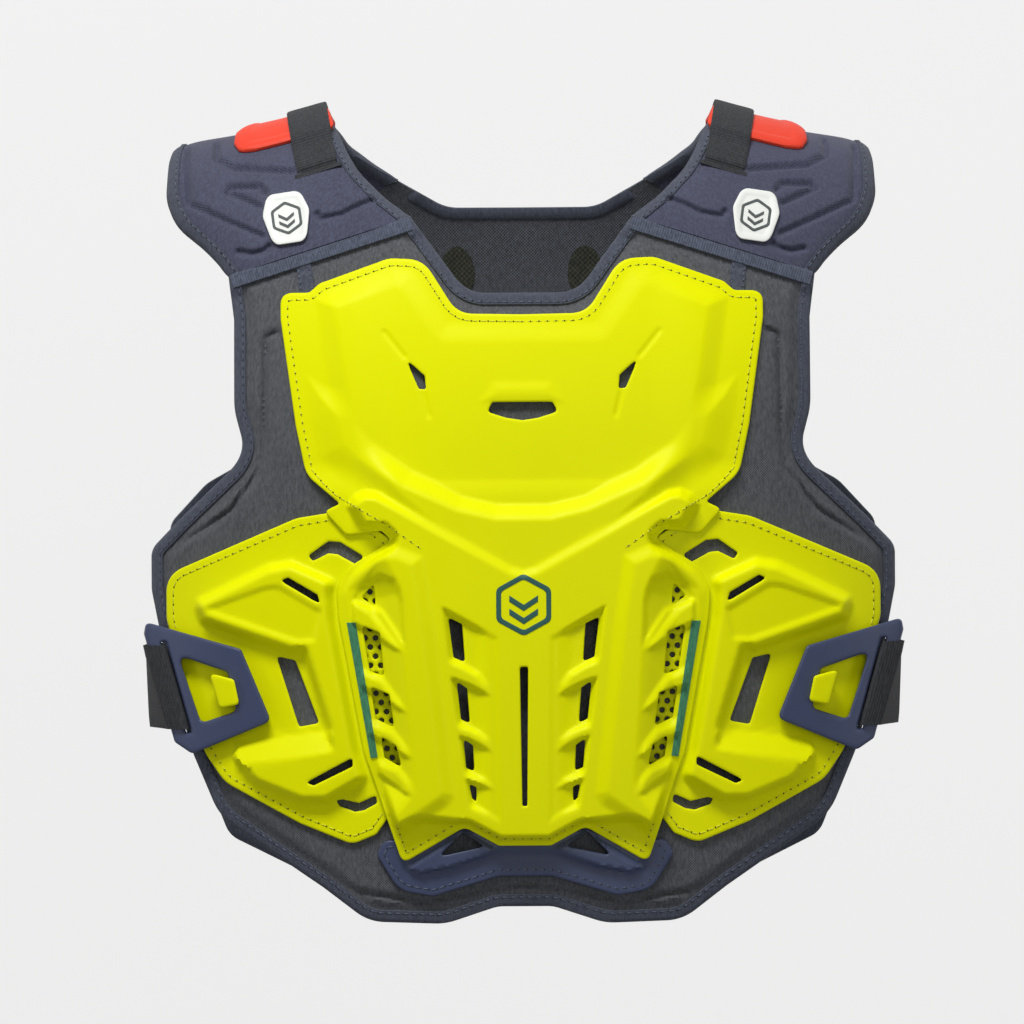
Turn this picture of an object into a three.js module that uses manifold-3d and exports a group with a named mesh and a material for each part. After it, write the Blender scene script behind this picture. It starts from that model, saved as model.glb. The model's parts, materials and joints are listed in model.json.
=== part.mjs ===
// A junior roost deflector: a padded vest of a front and a back panel, joined by two shoulder
// pads, with moulded shells sewn on the chest, the sides, the hem and the back, and two elastic
// side straps that end in rings hooked on the side shells. Millimetres, +Z up.
// The chest faces -Y. Left and right are as seen from in front of the chest, so left is -X.
// The origin is on the middle plane, level with where the shoulder pads rest on the shoulders.
import * as THREE from 'three';
import { mergeVertices } from 'three/addons/utils/BufferGeometryUtils.js';
import Module from 'manifold-3d';

const wasm = await Module();
wasm.setup();

// Body form that every layer follows: squared ellipses in plan and in side view
const sideReach = 26;          // the form's widest line, beyond the panels' side edges
const chestDepth = 110;        // origin's plane to the face of the front panel
const backDepth = 104;         // origin's plane to the face of the back panel
const chestDrop = 190;         // depth below the origin where the chest stands out most
const formPower = 2.2;         // 2 is an ellipse, more is squarer
const hemTuck = 0.05;          // share by which the form draws in down to the hem
const restX = 125.5;           // where the pads rest on the shoulders
const shoulderSlope = 0.234;   // fall of the shoulder line there, per length
const shoulderRadius = 312;    // its hollow curve
const neckRound = 30;          // rounds the form across the middle plane

// Panels of covered foam
const panelHalfWidth = 186;
const panelDrop = 391;         // origin to the front hem's lowest point
const foamWall = 7;
const backNarrowing = 6;       // how much less the back panel reaches to each side

// Shoulder pads
const padNeckX = 98;           // inner edge on the crest
const padReachX = 178;         // the widest point of the outer edge
const padRise = 2;             // how far the pad stands over the panel's face
const padEdgeDrop = 4;         // how far its rim falls from there
const tapeWidth = 6;
const tapeWall = 1;

// Shoulder straps, tabs and badges
const shoulderStrapWidth = 20;
const webbingWall = 1.6;
const strapCrestX = 108.5;     // the strap's middle on the crest
const strapLean = 6.5;         // how far it leans in towards its ends
const tabReach = 50;           // tab's length across the pad, from the pad's inner edge
const tabWall = 2;
const badgeWidth = 24;
const badgeHeight = 26;
const badgeWall = 2;
const badgeX = 117.5;
const badgeDrop = 39;
const badgeTilt = 8;           // degrees

// Moulded shells
const shellWall = 2.2;
const centreHalfWidth = 120.5;
const centreTopDrop = 60;      // origin to the centre shell's highest point
const centreHemMargin = 29.5;  // its lowest point, above the front panel's hem
const pan = 4.5;               // height of the chest's sunk face over the panel
const rim = 13;                // height of the raised rim under it
const apron = 9.5;             // height of the abdomen's face
const pod = 12.5;              // height of the two long ridges beside it
const podSide = 6;             // height of the ridges' outer side
const slotBed = 5.2;           // height of the sunk beds around the long slots
const sideShellInnerX = 58;
const sideShellMargin = 7;     // its outer edge, inside the panel's side edge
const sideShellTopDrop = 185.5;
const sideHemMargin = 39;      // its lowest point, above the front panel's hem
const sideBlock = 8;           // height of its raised block
const tailHalfWidth = 74;
const tailTopDrop = 335;
const tailHemMargin = 13;
const tailBody = 4;            // height of its raised middle
const backShellHalfWidth = 124;
const backShellTopDrop = 62;
const backShellHemMargin = 28; // its lowest point, above the front panel's hem
const backShellBody = 9;

// Hooks, rings and side straps
const ringWidth = 64.5;
const ringHeight = 66;
const ringWall = 4;
const ringReach = 4.5;         // how far the ring stands out past the panel's side edge
const ringTopDrop = 241;
const hookLip = 2.4;           // thickness of the hook's head over the ring
const hookNeck = 7;            // width of its neck inside the ring
const hookInset = 0.75;        // the neck's middle from the ring's inner rail, in neck widths
const sideStrapWall = 1.5;
const sideStrapBulge = 6;      // how far the side straps stand out past the panel's side edge
const sideStrapSewn = 32;      // length sewn on the back panel

// Clearances, and the steps of the faceted surfaces
const seat = 0.4;              // between layers that lie on each other
const joint = 0.3;             // between pieces that meet edge to edge
const shellStep = 12;
const panelStep = 30;

const formHalfWidth = panelHalfWidth + sideReach;
const flange = seat + shellWall;                 // height of a shell's rim over the panel
const overlapFlange = flange + seat + shellWall; // height of a shell's rim over another's
const ringUnder = flange + sideStrapWall + 2 * seat; // room for the strap's hem under the ring

// Outlines are right halves: [share of the half width, share of the height, corner radius as
// a share of the half width], from the top of the middle plane round to its foot.
const seamNeck = [0.301, 0.102];
const seamArm = [0.785, 0.174];
const frontOutline = [
  [0, 0.201], [0.15, 0.201, 0.11], seamNeck, seamArm, [0.77, 0.23], [0.77, 0.345, 0.21],
  [0.737, 0.404, 0.12], [0.925, 0.488, 0.16], [1, 0.524, 0.05], [1, 0.575, 0.11],
  [0.973, 0.639], [0.892, 0.78, 0.32], [0.817, 0.864, 0.16], [0.538, 0.954],
  [0.419, 0.997, 0.13], [0.215, 1, 0.16], [0.075, 0.978, 0.11], [0, 0.978],
];
const backSeamNeck = [0.355, 0.043];
const backSeamArm = [0.77, 0.153];
const backOutline = [
  [0, 0.079], [0.215, 0.079, 0.14], backSeamNeck, backSeamArm, [0.78, 0.332, 0.21],
  [0.763, 0.404, 0.065], [0.9, 0.44, 0.11], [1, 0.491, 0.054], [1, 0.614],
  [0.93, 0.793, 0.21], [0.84, 0.9, 0.075], [0.6, 0.957], [0.27, 0.987, 0.21], [0, 0.987],
];
const centreOutline = [
  [0, 0.095], [0.266, 0.093, 0.12], [0.407, 0.003, 0.13], [0.548, 0, 0.12],
  [0.838, 0.041, 0.05], [0.88, 0.056, 0.033], [1, 0.056, 0.075], [1, 0.1], [0.938, 0.277],
  [0.896, 0.358, 0.13], [0.755, 0.406, 0.01], [0.822, 0.418, 0.02], [0.73, 0.458, 0.04],
  [0.585, 0.451, 0.02], [0.544, 0.466, 0.017], [0.6, 0.481], [0.722, 0.511, 0.08],
  [0.772, 0.551, 0.08], [0.763, 0.597], [0.664, 0.814], [0.506, 1, 0.033],
  [0.249, 0.94, 0.05], [0.108, 0.971, 0.04], [0, 0.971],
];
const sideOutline = [
  [0.248, 0, 0.1], [0.066, 0.087, 0.066], [0, 0.237, 0.05], [0, 0.838, 0.066],
  [0.132, 0.97, 0.033], [0.231, 1, 0.083], [0.446, 0.937], [0.76, 0.814, 0.165],
  [0.843, 0.724, 0.165], [1, 0.327, 0.13], [1, 0.192, 0.116], [0.455, 0.024, 0.165],
];
const tailOutline = [
  [0, 0.233], [0.405, 0, 0.08], [0.811, 0.349], [0.946, 0.349, 0.07], [1, 0.512, 0.054],
  [0.851, 0.93, 0.19], [0.622, 1, 0.135], [0.176, 0.767, 0.11], [0, 0.767],
];
const backShellOutline = [
  [0, 0.04], [0.3, 0.04, 0.1], [0.5, 0, 0.15], [0.8, 0.05, 0.1], [0.88, 0.2, 0.2],
  [0.68, 0.4, 0.25], [0.98, 0.56, 0.25], [1, 0.68], [0.8, 0.93, 0.2], [0.4, 1, 0.2], [0, 1],
];
const ringOutline = [
  [0.984, 0, 0.047], [0.233, 0.205, 0.047], [0, 0.75, 0.06], [0.62, 1, 0.06],
  [0.76, 0.91, 0.047], [1, 0.09, 0.03],
];
const badgeOutline = [[0, -0.5], [0.7, -0.5, 0.5], [1, -0.1, 0.6], [0.7, 0.5, 0.6], [0, 0.5]];

// Openings through the shells, in the same shares as the outline they cut
const centreVents = [
  [[0.481, 0.167], [0.402, 0.196], [0.397, 0.219], [0.427, 0.217]],
  [[0.311, 0.594], [0.254, 0.605], [0.243, 0.668], [0.29, 0.66]],
  [[0.278, 0.699], [0.235, 0.711], [0.224, 0.769], [0.261, 0.762]],
  [[0.251, 0.794], [0.212, 0.805], [0.207, 0.848], [0.241, 0.842]],
  [[0.229, 0.868], [0.199, 0.874], [0.199, 0.899], [0.217, 0.892]],
  [[0.668, 0.561], [0.618, 0.537], [0.61, 0.577]],
  [[0.666, 0.607], [0.594, 0.619], [0.577, 0.69], [0.636, 0.682]],
  [[0.632, 0.708], [0.556, 0.72], [0.536, 0.775], [0.612, 0.761]],
  [[0.591, 0.789], [0.528, 0.805], [0.506, 0.841], [0.577, 0.825]],
];
const middleVents = [
  [[0, 0.24], [0.124, 0.24], [0.145, 0.256], [0.066, 0.266], [0, 0.27]],
  [[0, 0.676], [0.017, 0.676], [0.01, 0.905], [0, 0.905]],
];
const sideVents = [
  [[0.405, 0.135], [0.322, 0.093], [0.273, 0.096], [0.178, 0.138],
    [0.202, 0.165], [0.285, 0.132], [0.322, 0.129], [0.388, 0.153]],
  [[0.521, 0.21], [0.488, 0.201], [0.368, 0.252], [0.355, 0.282]],
  [[0.525, 0.438], [0.479, 0.447], [0.393, 0.64], [0.438, 0.643]],
  [[0.421, 0.814], [0.388, 0.823], [0.227, 0.766], [0.227, 0.739]],
  [[0.298, 0.868], [0.281, 0.886], [0.219, 0.902], [0.182, 0.898], [0.128, 0.877],
    [0.132, 0.853], [0.202, 0.876], [0.269, 0.865]],
];
const tailVents = [[[0.42, 0.256], [0.27, 0.42], [0.58, 0.535]]];

// Raised and sunk areas of the shells, painted in order: each sets the shell's outer face to
// its height inside its area, over a slope that starts at the area's edge. Its width is a share
// of the half width too.
const centreAreas = [
  { height: rim, slope: 0.116, area: [[0, 0.2], [0.5, 0.2], [0.89, 0.08], [0.93, 0.08],
    [0.905, 0.166], [0.88, 0.265], [0.84, 0.33], [0.76, 0.365], [0.63, 0.405],
    [0.465, 0.464], [0, 0.6]] },
  { height: pan, slope: 0.1, area: [[0, 0.106], [0.3, 0.106], [0.45, 0.02], [0.53, 0.013],
    [0.81, 0.053], [0.86, 0.066], [0.81, 0.2], [0.763, 0.29], [0.68, 0.33], [0.5, 0.38],
    [0.274, 0.42], [0.116, 0.435], [0, 0.435]] },
  { height: apron, slope: 0.066, area: [[0, 0.517], [0.041, 0.511], [0.6, 0.4], [0.6, 0.48],
    [0.5, 0.9], [0.25, 0.92], [0.108, 0.95], [0, 0.95]] },
  { height: pod, slope: 0.05, area: [[0.61, 0.455], [0.43, 0.455], [0.36, 0.6], [0.31, 0.84],
    [0.44, 0.87], [0.56, 0.62]] },
  { height: podSide, slope: 0.166, area: [[0.9, 0.5], [0.5, 0.52], [0.37, 0.87], [0.55, 1]] },
  { height: slotBed, slope: 0.033, area: [[0.35, 0.57], [0.14, 0.62], [0.14, 0.93], [0.26, 0.9]] },
];
const sideAreas = [
  { height: sideBlock, slope: 0.066, area: [[0.818, 0.273], [0.488, 0.162], [0.43, 0.159],
    [0.28, 0.213], [0.248, 0.357], [0.116, 0.796], [0.343, 0.868], [0.417, 0.859],
    [0.628, 0.769], [0.649, 0.718], [0.318, 0.7], [0.446, 0.405], [0.81, 0.306]] },
];
const tailAreas = [
  { height: tailBody, slope: 0.04, area: [[0, 0.116], [0.838, 0.302], [0.824, 0.605],
    [0.784, 0.709], [0.65, 0.733], [0.2, 0.512], [0, 0.512]] },
];
const backShellAreas = [
  { height: backShellBody, slope: 0.13, area: [[0, 0.1], [0.42, 0.1], [0.62, 0.2],
    [0.42, 0.42], [0.62, 0.6], [0.6, 0.8], [0.3, 0.9], [0, 0.9]] },
];

// Shoulder pad edges along its way from the front seam (0) over the crest (1) to the back
// seam (2): neck as a share from the seam's end to padNeckX, arm likewise to padReachX.
const padRows = [
  { way: 0, neck: 0, arm: 0 }, { way: 0.11, neck: 0.31, arm: 0.28 },
  { way: 0.29, neck: 0.63, arm: 0.84 }, { way: 0.44, neck: 0.77, arm: 1 },
  { way: 0.72, neck: 0.93, arm: 0.97 }, { way: 1, neck: 1, arm: 0.9 },
  { way: 1.28, neck: 0.92, arm: 0.97 }, { way: 1.56, neck: 0.72, arm: 0.95 },
  { way: 1.8, neck: 0.36, arm: 0.62 }, { way: 2, neck: 0, arm: 0 },
];
// The tab under the strap: its two ends as shares of tabReach from the pad's neck edge
const tabRows = [
  { way: 0.51, inner: 0.38, outer: 0.8 }, { way: 0.55, inner: 0.08, outer: 0.98 },
  { way: 0.66, inner: 0.02, outer: 1 }, { way: 0.8, inner: 0.02, outer: 0.96 },
  { way: 1, inner: 0.03, outer: 0.8 }, { way: 1.2, inner: 0.02, outer: 0.96 },
  { way: 1.34, inner: 0.02, outer: 1 }, { way: 1.45, inner: 0.08, outer: 0.98 },
  { way: 1.49, inner: 0.38, outer: 0.8 },
];
const strapWays = { start: 0.35, lift: 0.42, tab: 0.5, end: 1.65 };

const roundOff = (share) => Math.max(0, 1 - share ** formPower) ** (1 / formPower);
const mix = (from, to, share) => from + (to - from) * share;
const clamp = (value) => Math.min(1, Math.max(0, value));
const smooth = (value) => clamp(value) ** 2 * (3 - 2 * clamp(value));

// Height of the form's shoulder line over a point of the x axis
function crestHeight(x) {
  const out = Math.hypot(x, neckRound) - Math.hypot(restX, neckRound);
  return foamWall - shoulderSlope * out + out ** 2 / (2 * shoulderRadius);
}

// Depth of the form at x, z, on the chest (side -1) or the back (1), lifted off the panels'
// outer face by lift
function formY(x, z, lift, side) {
  const depth = (side < 0 ? chestDepth : backDepth) + lift;
  const across = roundOff(Math.abs(x) / (formHalfWidth + lift));
  const top = crestHeight(x) + lift + chestDrop;
  const above = z + chestDrop;
  const upDown = above > 0 ? roundOff(above / top)
    : 1 - hemTuck * (above / (panelDrop - chestDrop)) ** 2;
  return side * depth * across * upDown;
}

// Height of the seam between a panel and the shoulder pad, at x
function seamZ(x, side) {
  const [neck, arm] = side < 0 ? [seamNeck, seamArm] : [backSeamNeck, backSeamArm];
  const width = side < 0 ? panelHalfWidth : panelHalfWidth - backNarrowing;
  const share = (Math.abs(x) / width - neck[0]) / (arm[0] - neck[0]);
  return -panelDrop * mix(neck[1], arm[1], share);
}

// Point over the shoulder: way runs from the front seam (0) over the crest (1) to the back
// seam (2)
function archPoint(x, way, lift) {
  const side = way < 1 ? -1 : 1;
  const top = crestHeight(x) + lift + chestDrop;
  const seamShare = clamp((seamZ(x, side) + joint + chestDrop) / top);
  const seamAngle = Math.asin(seamShare ** (formPower / 2));
  const angle = mix(seamAngle, Math.PI / 2, side < 0 ? way : 2 - way);
  const upShare = clamp(Math.sin(angle)) ** (2 / formPower);
  const depth = (side < 0 ? chestDepth : backDepth) + lift;
  const y = side * depth * roundOff(Math.abs(x) / (formHalfWidth + lift)) * roundOff(upShare);
  return new THREE.Vector3(x, y, top * upShare - chestDrop);
}

// Value of a column at a way along a table of rows, with straight steps between them
function alongRows(rows, way, column) {
  const next = Math.max(1, rows.findIndex((row) => row.way >= way - 1e-9));
  const [a, b] = [rows[next - 1], rows[next]];
  return mix(a[column], b[column], (way - a.way) / (b.way - a.way));
}

// Table of shares to points in millimetres; symmetric adds the left half
function place(table, frame, symmetric) {
  const right = table.map(([u, v, r = 0]) => ({
    x: frame.x + u * frame.width,
    z: -frame.top - v * frame.height,
    radius: r * frame.width,
  }));
  if (!symmetric) return right;
  const left = right.filter((point) => point.x > 0).reverse();
  return [...right, ...left.map((point) => ({ ...point, x: -point.x }))];
}

// Shape through rounded corners, anticlockwise, each round limited by its edges
function roundedShape(outline) {
  const points = outline.map(({ x, z }) => new THREE.Vector2(x, z));
  const corners = THREE.ShapeUtils.isClockWise(points) ? [...outline].reverse() : outline;
  const shape = new THREE.Shape();
  const count = corners.length;
  corners.forEach((corner, i) => {
    const here = new THREE.Vector2(corner.x, corner.z);
    const ends = [corners[(i + count - 1) % count], corners[(i + 1) % count]].map((other) => {
      const edge = new THREE.Vector2(other.x, other.z).sub(here);
      return { edge, length: edge.length() };
    });
    const turn = Math.acos(ends[0].edge.dot(ends[1].edge) / (ends[0].length * ends[1].length));
    const reach = corner.radius / Math.tan(turn / 2);
    const [start, end] = ends.map(({ edge, length }) =>
      here.clone().addScaledVector(edge, Math.min(reach, 0.45 * length) / length));
    if (i === 0) shape.moveTo(start.x, start.y);
    else shape.lineTo(start.x, start.y);
    if (corner.radius > 0) shape.quadraticCurveTo(here.x, here.y, end.x, end.y);
  });
  shape.closePath();
  return shape;
}

// Distance of a point from a polygon's edge, positive inside
function depthInside(polygon, x, z) {
  let nearest = Infinity;
  let inside = false;
  polygon.forEach((a, i) => {
    const b = polygon[(i + 1) % polygon.length];
    const edge = { x: b.x - a.x, z: b.z - a.z };
    const share = clamp(((x - a.x) * edge.x + (z - a.z) * edge.z) / (edge.x ** 2 + edge.z ** 2));
    nearest = Math.min(nearest, Math.hypot(x - a.x - share * edge.x, z - a.z - share * edge.z));
    const crosses = a.z > z !== b.z > z && x < a.x + (edge.x * (z - a.z)) / edge.z;
    if (crosses) inside = !inside;
  });
  return inside ? nearest : -nearest;
}

// Outer height of a shell: its base, then each area in turn
function paintedHeight(base, areas, frame, symmetric) {
  const placed = areas.map((item) => ({ ...item, polygon: place(item.area, frame, symmetric) }));
  return (x, z) => placed.reduce((height, item) => mix(height, item.height,
    smooth(depthInside(item.polygon, x, z) / (item.slope * frame.width))), base(x, z));
}

function toSolid(geometry) {
  const bare = geometry.clone();
  bare.deleteAttribute('normal');
  bare.deleteAttribute('uv');
  const merged = mergeVertices(bare, 1e-4);
  return new wasm.Manifold(new wasm.Mesh({
    numProp: 3,
    vertProperties: new Float32Array(merged.attributes.position.array),
    triVerts: new Uint32Array(merged.index.array),
  }));
}

function toMesh(name, solid, material) {
  const { vertProperties, triVerts } = solid.getMesh();
  const geometry = new THREE.BufferGeometry();
  geometry.setAttribute('position', new THREE.BufferAttribute(vertProperties, 3));
  geometry.setIndex(new THREE.BufferAttribute(triVerts, 1));
  geometry.computeVertexNormals();
  const mesh = new THREE.Mesh(geometry, material);
  mesh.name = name;
  return mesh;
}

// Box cut into cells, each corner moved to where(u, v, w): u and v run along its two long
// ways, w is 0 on its front face and 1 on its back face
function bentBox(columns, rows, where) {
  const geometry = new THREE.BoxGeometry(1, 1, 1, columns, 1, rows);
  const position = geometry.attributes.position;
  for (let i = 0; i < position.count; i += 1) {
    const [u, w, v] = [position.getX(i), position.getY(i), position.getZ(i)].map((c) => c + 0.5);
    const point = where(u, v, Math.round(w));
    position.setXYZ(i, point.x, point.y, point.z);
  }
  return toSolid(geometry);
}

// Right side solid to the left
function mirrored(solid) {
  const { vertProperties, triVerts } = solid.getMesh();
  const flipped = vertProperties.map((value, i) => (i % 3 === 0 ? -value : value));
  const turned = triVerts.map((_, i) => triVerts[i - (i % 3) + 2 - (i % 3)]);
  return new wasm.Manifold(new wasm.Mesh({ numProp: 3, vertProperties: flipped, triVerts: turned }));
}

// Straight block with an outline, through the whole depth of the chest or the back
function prism(shape, side) {
  const depth = 2 * Math.max(chestDepth, backDepth);
  const geometry = new THREE.ExtrudeGeometry(shape, { depth, bevelEnabled: false, curveSegments: 2 });
  geometry.rotateX(Math.PI / 2);
  if (side > 0) geometry.translate(0, depth, 0);
  return toSolid(geometry);
}

// Layer on the form inside an outline, between two heights that may vary over it
function layer(corners, { side = -1, step, inner, outer, vents = [] }) {
  const xs = corners.map((corner) => corner.x);
  const zs = corners.map((corner) => corner.z);
  const [x0, z0] = [Math.floor(Math.min(...xs) / step), Math.floor(Math.min(...zs) / step)];
  const columns = Math.ceil(Math.max(...xs) / step) - x0;
  const rows = Math.ceil(Math.max(...zs) / step) - z0;
  const sheet = bentBox(columns, rows, (u, v, w) => {
    const x = step * (x0 + u * columns);
    const z = step * (z0 + v * rows);
    const lift = (w === 0) === (side < 0) ? outer(x, z) : inner(x, z);
    return { x, y: formY(x, z, lift, side), z };
  });
  const shape = roundedShape(corners);
  shape.holes = vents.map(roundedShape);
  return sheet.intersect(prism(shape, side));
}

const level = (height) => () => height;

// Frames that the shares of an outline are measured in
const panelFrame = { x: 0, width: panelHalfWidth, top: 0, height: panelDrop };
const backFrame = { ...panelFrame, width: panelHalfWidth - backNarrowing };
const centreFrame = { x: 0, width: centreHalfWidth, top: centreTopDrop,
  height: panelDrop - centreHemMargin - centreTopDrop };
const sideFrame = { x: sideShellInnerX, top: sideShellTopDrop,
  width: panelHalfWidth - sideShellMargin - sideShellInnerX,
  height: panelDrop - sideHemMargin - sideShellTopDrop };
const tailFrame = { x: 0, width: tailHalfWidth, top: tailTopDrop,
  height: panelDrop - tailHemMargin - tailTopDrop };
const backShellFrame = { x: 0, width: backShellHalfWidth, top: backShellTopDrop,
  height: panelDrop - backShellHemMargin - backShellTopDrop };
const ringFrame = { x: panelHalfWidth + ringReach - ringWidth, width: ringWidth,
  top: ringTopDrop, height: ringHeight };

const finish = (color, roughness) => new THREE.MeshStandardMaterial({ color, roughness, metalness: 0 });
const finishes = {
  panel: finish(0x45484f, 0.9),
  pad: finish(0x474a60, 0.85),
  tape: finish(0x4b5365, 0.8),
  webbing: finish(0x2c2e31, 0.85),
  shell: finish(0xdfe600, 0.45),
  navy: finish(0x3f4868, 0.5),
  red: finish(0xe8432a, 0.6),
  white: finish(0xedefea, 0.55),
};

function frontPanel() {
  return layer(place(frontOutline, panelFrame, true),
    { step: panelStep, inner: level(-foamWall), outer: level(0) });
}

function backPanel() {
  return layer(place(backOutline, backFrame, true),
    { side: 1, step: panelStep, inner: level(-foamWall), outer: level(0) });
}

// Pad over a shoulder: its rim falls towards the neck and arm edges
function shoulderPad() {
  const [columns, rows] = [6, 14];
  return bentBox(columns, rows, (u, v, w) => {
    const way = 2 * v;
    const x = padEdges(way, u);
    const rimShare = Math.abs(2 * u - 1) ** 6;
    return archPoint(x, way, w === 0 ? padRise - padEdgeDrop * rimShare : -foamWall);
  });
}

// Place across the pad from its neck edge (0) to its arm edge (1)
function padEdges(way, across) {
  const side = way < 1 ? -1 : 1;
  const [neck, arm] = side < 0 ? [seamNeck, seamArm] : [backSeamNeck, backSeamArm];
  const width = side < 0 ? panelHalfWidth : panelHalfWidth - backNarrowing;
  const neckX = mix(neck[0] * width, padNeckX, alongRows(padRows, way, 'neck'));
  const armX = mix(arm[0] * width, padReachX, alongRows(padRows, way, 'arm'));
  return mix(neckX, armX, across);
}

// Ribbed tape on the front panel, under the pad's seam
function seamTape() {
  const ends = [seamNeck[0], seamArm[0]].map((share) => share * panelHalfWidth);
  const corners = [...ends.map((x) => ({ x, z: seamZ(x, -1) - joint, radius: 0 })),
    ...ends.reverse().map((x) => ({ x, z: seamZ(x, -1) - joint - tapeWidth, radius: 0 }))];
  return layer(corners, { step: shellStep, inner: level(seat), outer: level(seat + tapeWall) });
}

// Strap over the pad; it climbs over the tab on its way
function shoulderStrap() {
  const [columns, rows] = [1, 16];
  return bentBox(columns, rows, (u, v, w) => {
    const way = mix(strapWays.start, strapWays.end, v);
    const fromCrest = Math.abs(way - 1);
    const climb = smooth((1 - strapWays.lift - fromCrest) / (strapWays.tab - strapWays.lift));
    const x = strapCrestX - strapLean * (fromCrest / (1 - strapWays.start)) ** 2;
    const bed = padRise + seat + climb * (tabWall + seat);
    return archPoint(x + (u - 0.5) * shoulderStrapWidth, way, w === 0 ? bed + webbingWall : bed);
  });
}

// Rubber tab between the pad and its strap
function strapTab() {
  const [columns, rows] = [3, 10];
  return bentBox(columns, rows, (u, v, w) => {
    const way = mix(tabRows[0].way, tabRows[tabRows.length - 1].way, v);
    const share = mix(alongRows(tabRows, way, 'inner'), alongRows(tabRows, way, 'outer'), u);
    const x = padEdges(way, 0) + share * tabReach;
    return archPoint(x, way, padRise + seat + (w === 0 ? tabWall : 0));
  });
}

function shoulderBadge() {
  const frame = { x: 0, width: badgeWidth / 2, top: 0, height: badgeHeight };
  const turn = THREE.MathUtils.degToRad(badgeTilt);
  const corners = place(badgeOutline, frame, true).map(({ x, z, radius }) => ({
    x: badgeX + x * Math.cos(turn) + z * Math.sin(turn),
    z: -badgeDrop + z * Math.cos(turn) - x * Math.sin(turn),
    radius,
  }));
  const under = padRise + seat;
  return layer(corners, { step: shellStep, inner: level(under), outer: level(under + badgeWall) });
}

// Chest and abdomen shell, one moulding. Its lowest face lies on the panel above the waist, on
// the side shells below it, and on the tail shell's body at the hem.
function centreShell() {
  const waist = { top: sideShellTopDrop - 2 * shellStep, foot: sideShellTopDrop - shellStep / 2 };
  const tail = place(tailOutline, tailFrame, true);
  const base = (x, z) => {
    const low = mix(flange, overlapFlange, smooth((-z - waist.top) / (waist.foot - waist.top)));
    const overTail = smooth(depthInside(tail, x, z) / shellStep + 2);
    return mix(low, tailBody + seat + shellWall, overTail);
  };
  const painted = paintedHeight(base, centreAreas, centreFrame, true);
  const outer = (x, z) => Math.max(base(x, z), painted(x, z));
  const left = centreVents.map((vent) => place(vent, centreFrame, false));
  const vents = [
    ...left,
    ...left.map((vent) => vent.map((point) => ({ ...point, x: -point.x }))),
    ...middleVents.map((vent) => place(vent, centreFrame, true)),
  ];
  return layer(place(centreOutline, centreFrame, true),
    { step: shellStep, outer, inner: (x, z) => outer(x, z) - shellWall, vents });
}

// How far a point lies clear of what covers the side shell: 0 under it, 1 away from it
function clearOfCovers(covers) {
  return (x, z) => covers.reduce((share, cover) =>
    Math.min(share, smooth(-depthInside(cover, x, z) / shellStep - 1)), 1);
}

// Side shell with its hook: a neck inside the ring and a head that laps over the ring's rail
function sideShell() {
  const painted = paintedHeight(level(flange), sideAreas, sideFrame, false);
  const clear = clearOfCovers([place(centreOutline, centreFrame, true), ringCorners()]);
  const outer = (x, z) => mix(flange, painted(x, z), clear(x, z));
  const vents = sideVents.map((vent) => place(vent, sideFrame, false));
  const shell = layer(place(sideOutline, sideFrame, false),
    { step: shellStep, outer, inner: (x, z) => outer(x, z) - shellWall, vents });
  const top = ringUnder + ringWall + seat;
  const neck = layer(hookCorners(-0.5, 0.5),
    { step: shellStep, inner: level(flange - shellWall / 2), outer: level(top + hookLip / 2) });
  const head = layer(hookCorners(-1.2, 0.8),
    { step: shellStep, inner: level(top), outer: level(top + hookLip) });
  return shell.add(neck).add(head);
}

const ringCorners = () => place(ringOutline, ringFrame, false);

// The ring's inner window: its outline drawn in by the rails, short of the strap's slot
function ringWindow() {
  return place([[0.729, 0.25, 0.016], [0.341, 0.379, 0.016], [0.271, 0.674, 0.016],
    [0.55, 0.765, 0.016]], ringFrame, false);
}

// Slot for the side strap, along the ring's outer rail: its ends and its width
const slotEnds = { top: [0.845, 0.15], foot: [0.645, 0.84] };
const slotWidth = sideStrapWall + 2 * (seat + joint);
const strapEnds = { top: 0.96, foot: 0.04 }; // the strap's edges, along the slot

function slotMiddle(share) {
  const [top, foot] = [slotEnds.top, slotEnds.foot].map((end) => place([end], ringFrame, false)[0]);
  return { x: mix(foot.x, top.x, share), z: mix(foot.z, top.z, share) };
}

function ringSlot() {
  const [foot, top] = [slotMiddle(0), slotMiddle(1)];
  return [{ x: foot.x - slotWidth / 2, z: foot.z }, { x: foot.x + slotWidth / 2, z: foot.z },
    { x: top.x + slotWidth / 2, z: top.z }, { x: top.x - slotWidth / 2, z: top.z }]
    .map((point) => ({ ...point, radius: 0 }));
}

// Corners of the hook's neck or head: a band across the ring's window, along its inner rail.
// Its two sides are given in neck widths from the neck's middle.
function hookCorners(sideIn, sideOut) {
  const [outTop, inTop, inFoot, outFoot] = ringWindow();
  const side = (share) => ({
    top: { x: mix(inTop.x, outTop.x, share), z: mix(inTop.z, outTop.z, share) },
    foot: { x: mix(inFoot.x, outFoot.x, share), z: mix(inFoot.z, outFoot.z, share) },
  });
  const width = Math.hypot(outTop.x - inTop.x, outTop.z - inTop.z);
  const [near, far] = [sideIn, sideOut].map((widths) => side((widths + hookInset) * hookNeck / width));
  const drawn = (a, b, share) => ({ x: mix(a.x, b.x, share), z: mix(a.z, b.z, share), radius: 0 });
  return [drawn(near.top, near.foot, 0.15), drawn(near.top, near.foot, 0.85),
    drawn(far.top, far.foot, 0.85), drawn(far.top, far.foot, 0.15)];
}

function strapRing() {
  return layer(ringCorners(), { step: shellStep, inner: level(ringUnder),
    outer: level(ringUnder + ringWall), vents: [ringWindow(), ringSlot()] });
}

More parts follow.
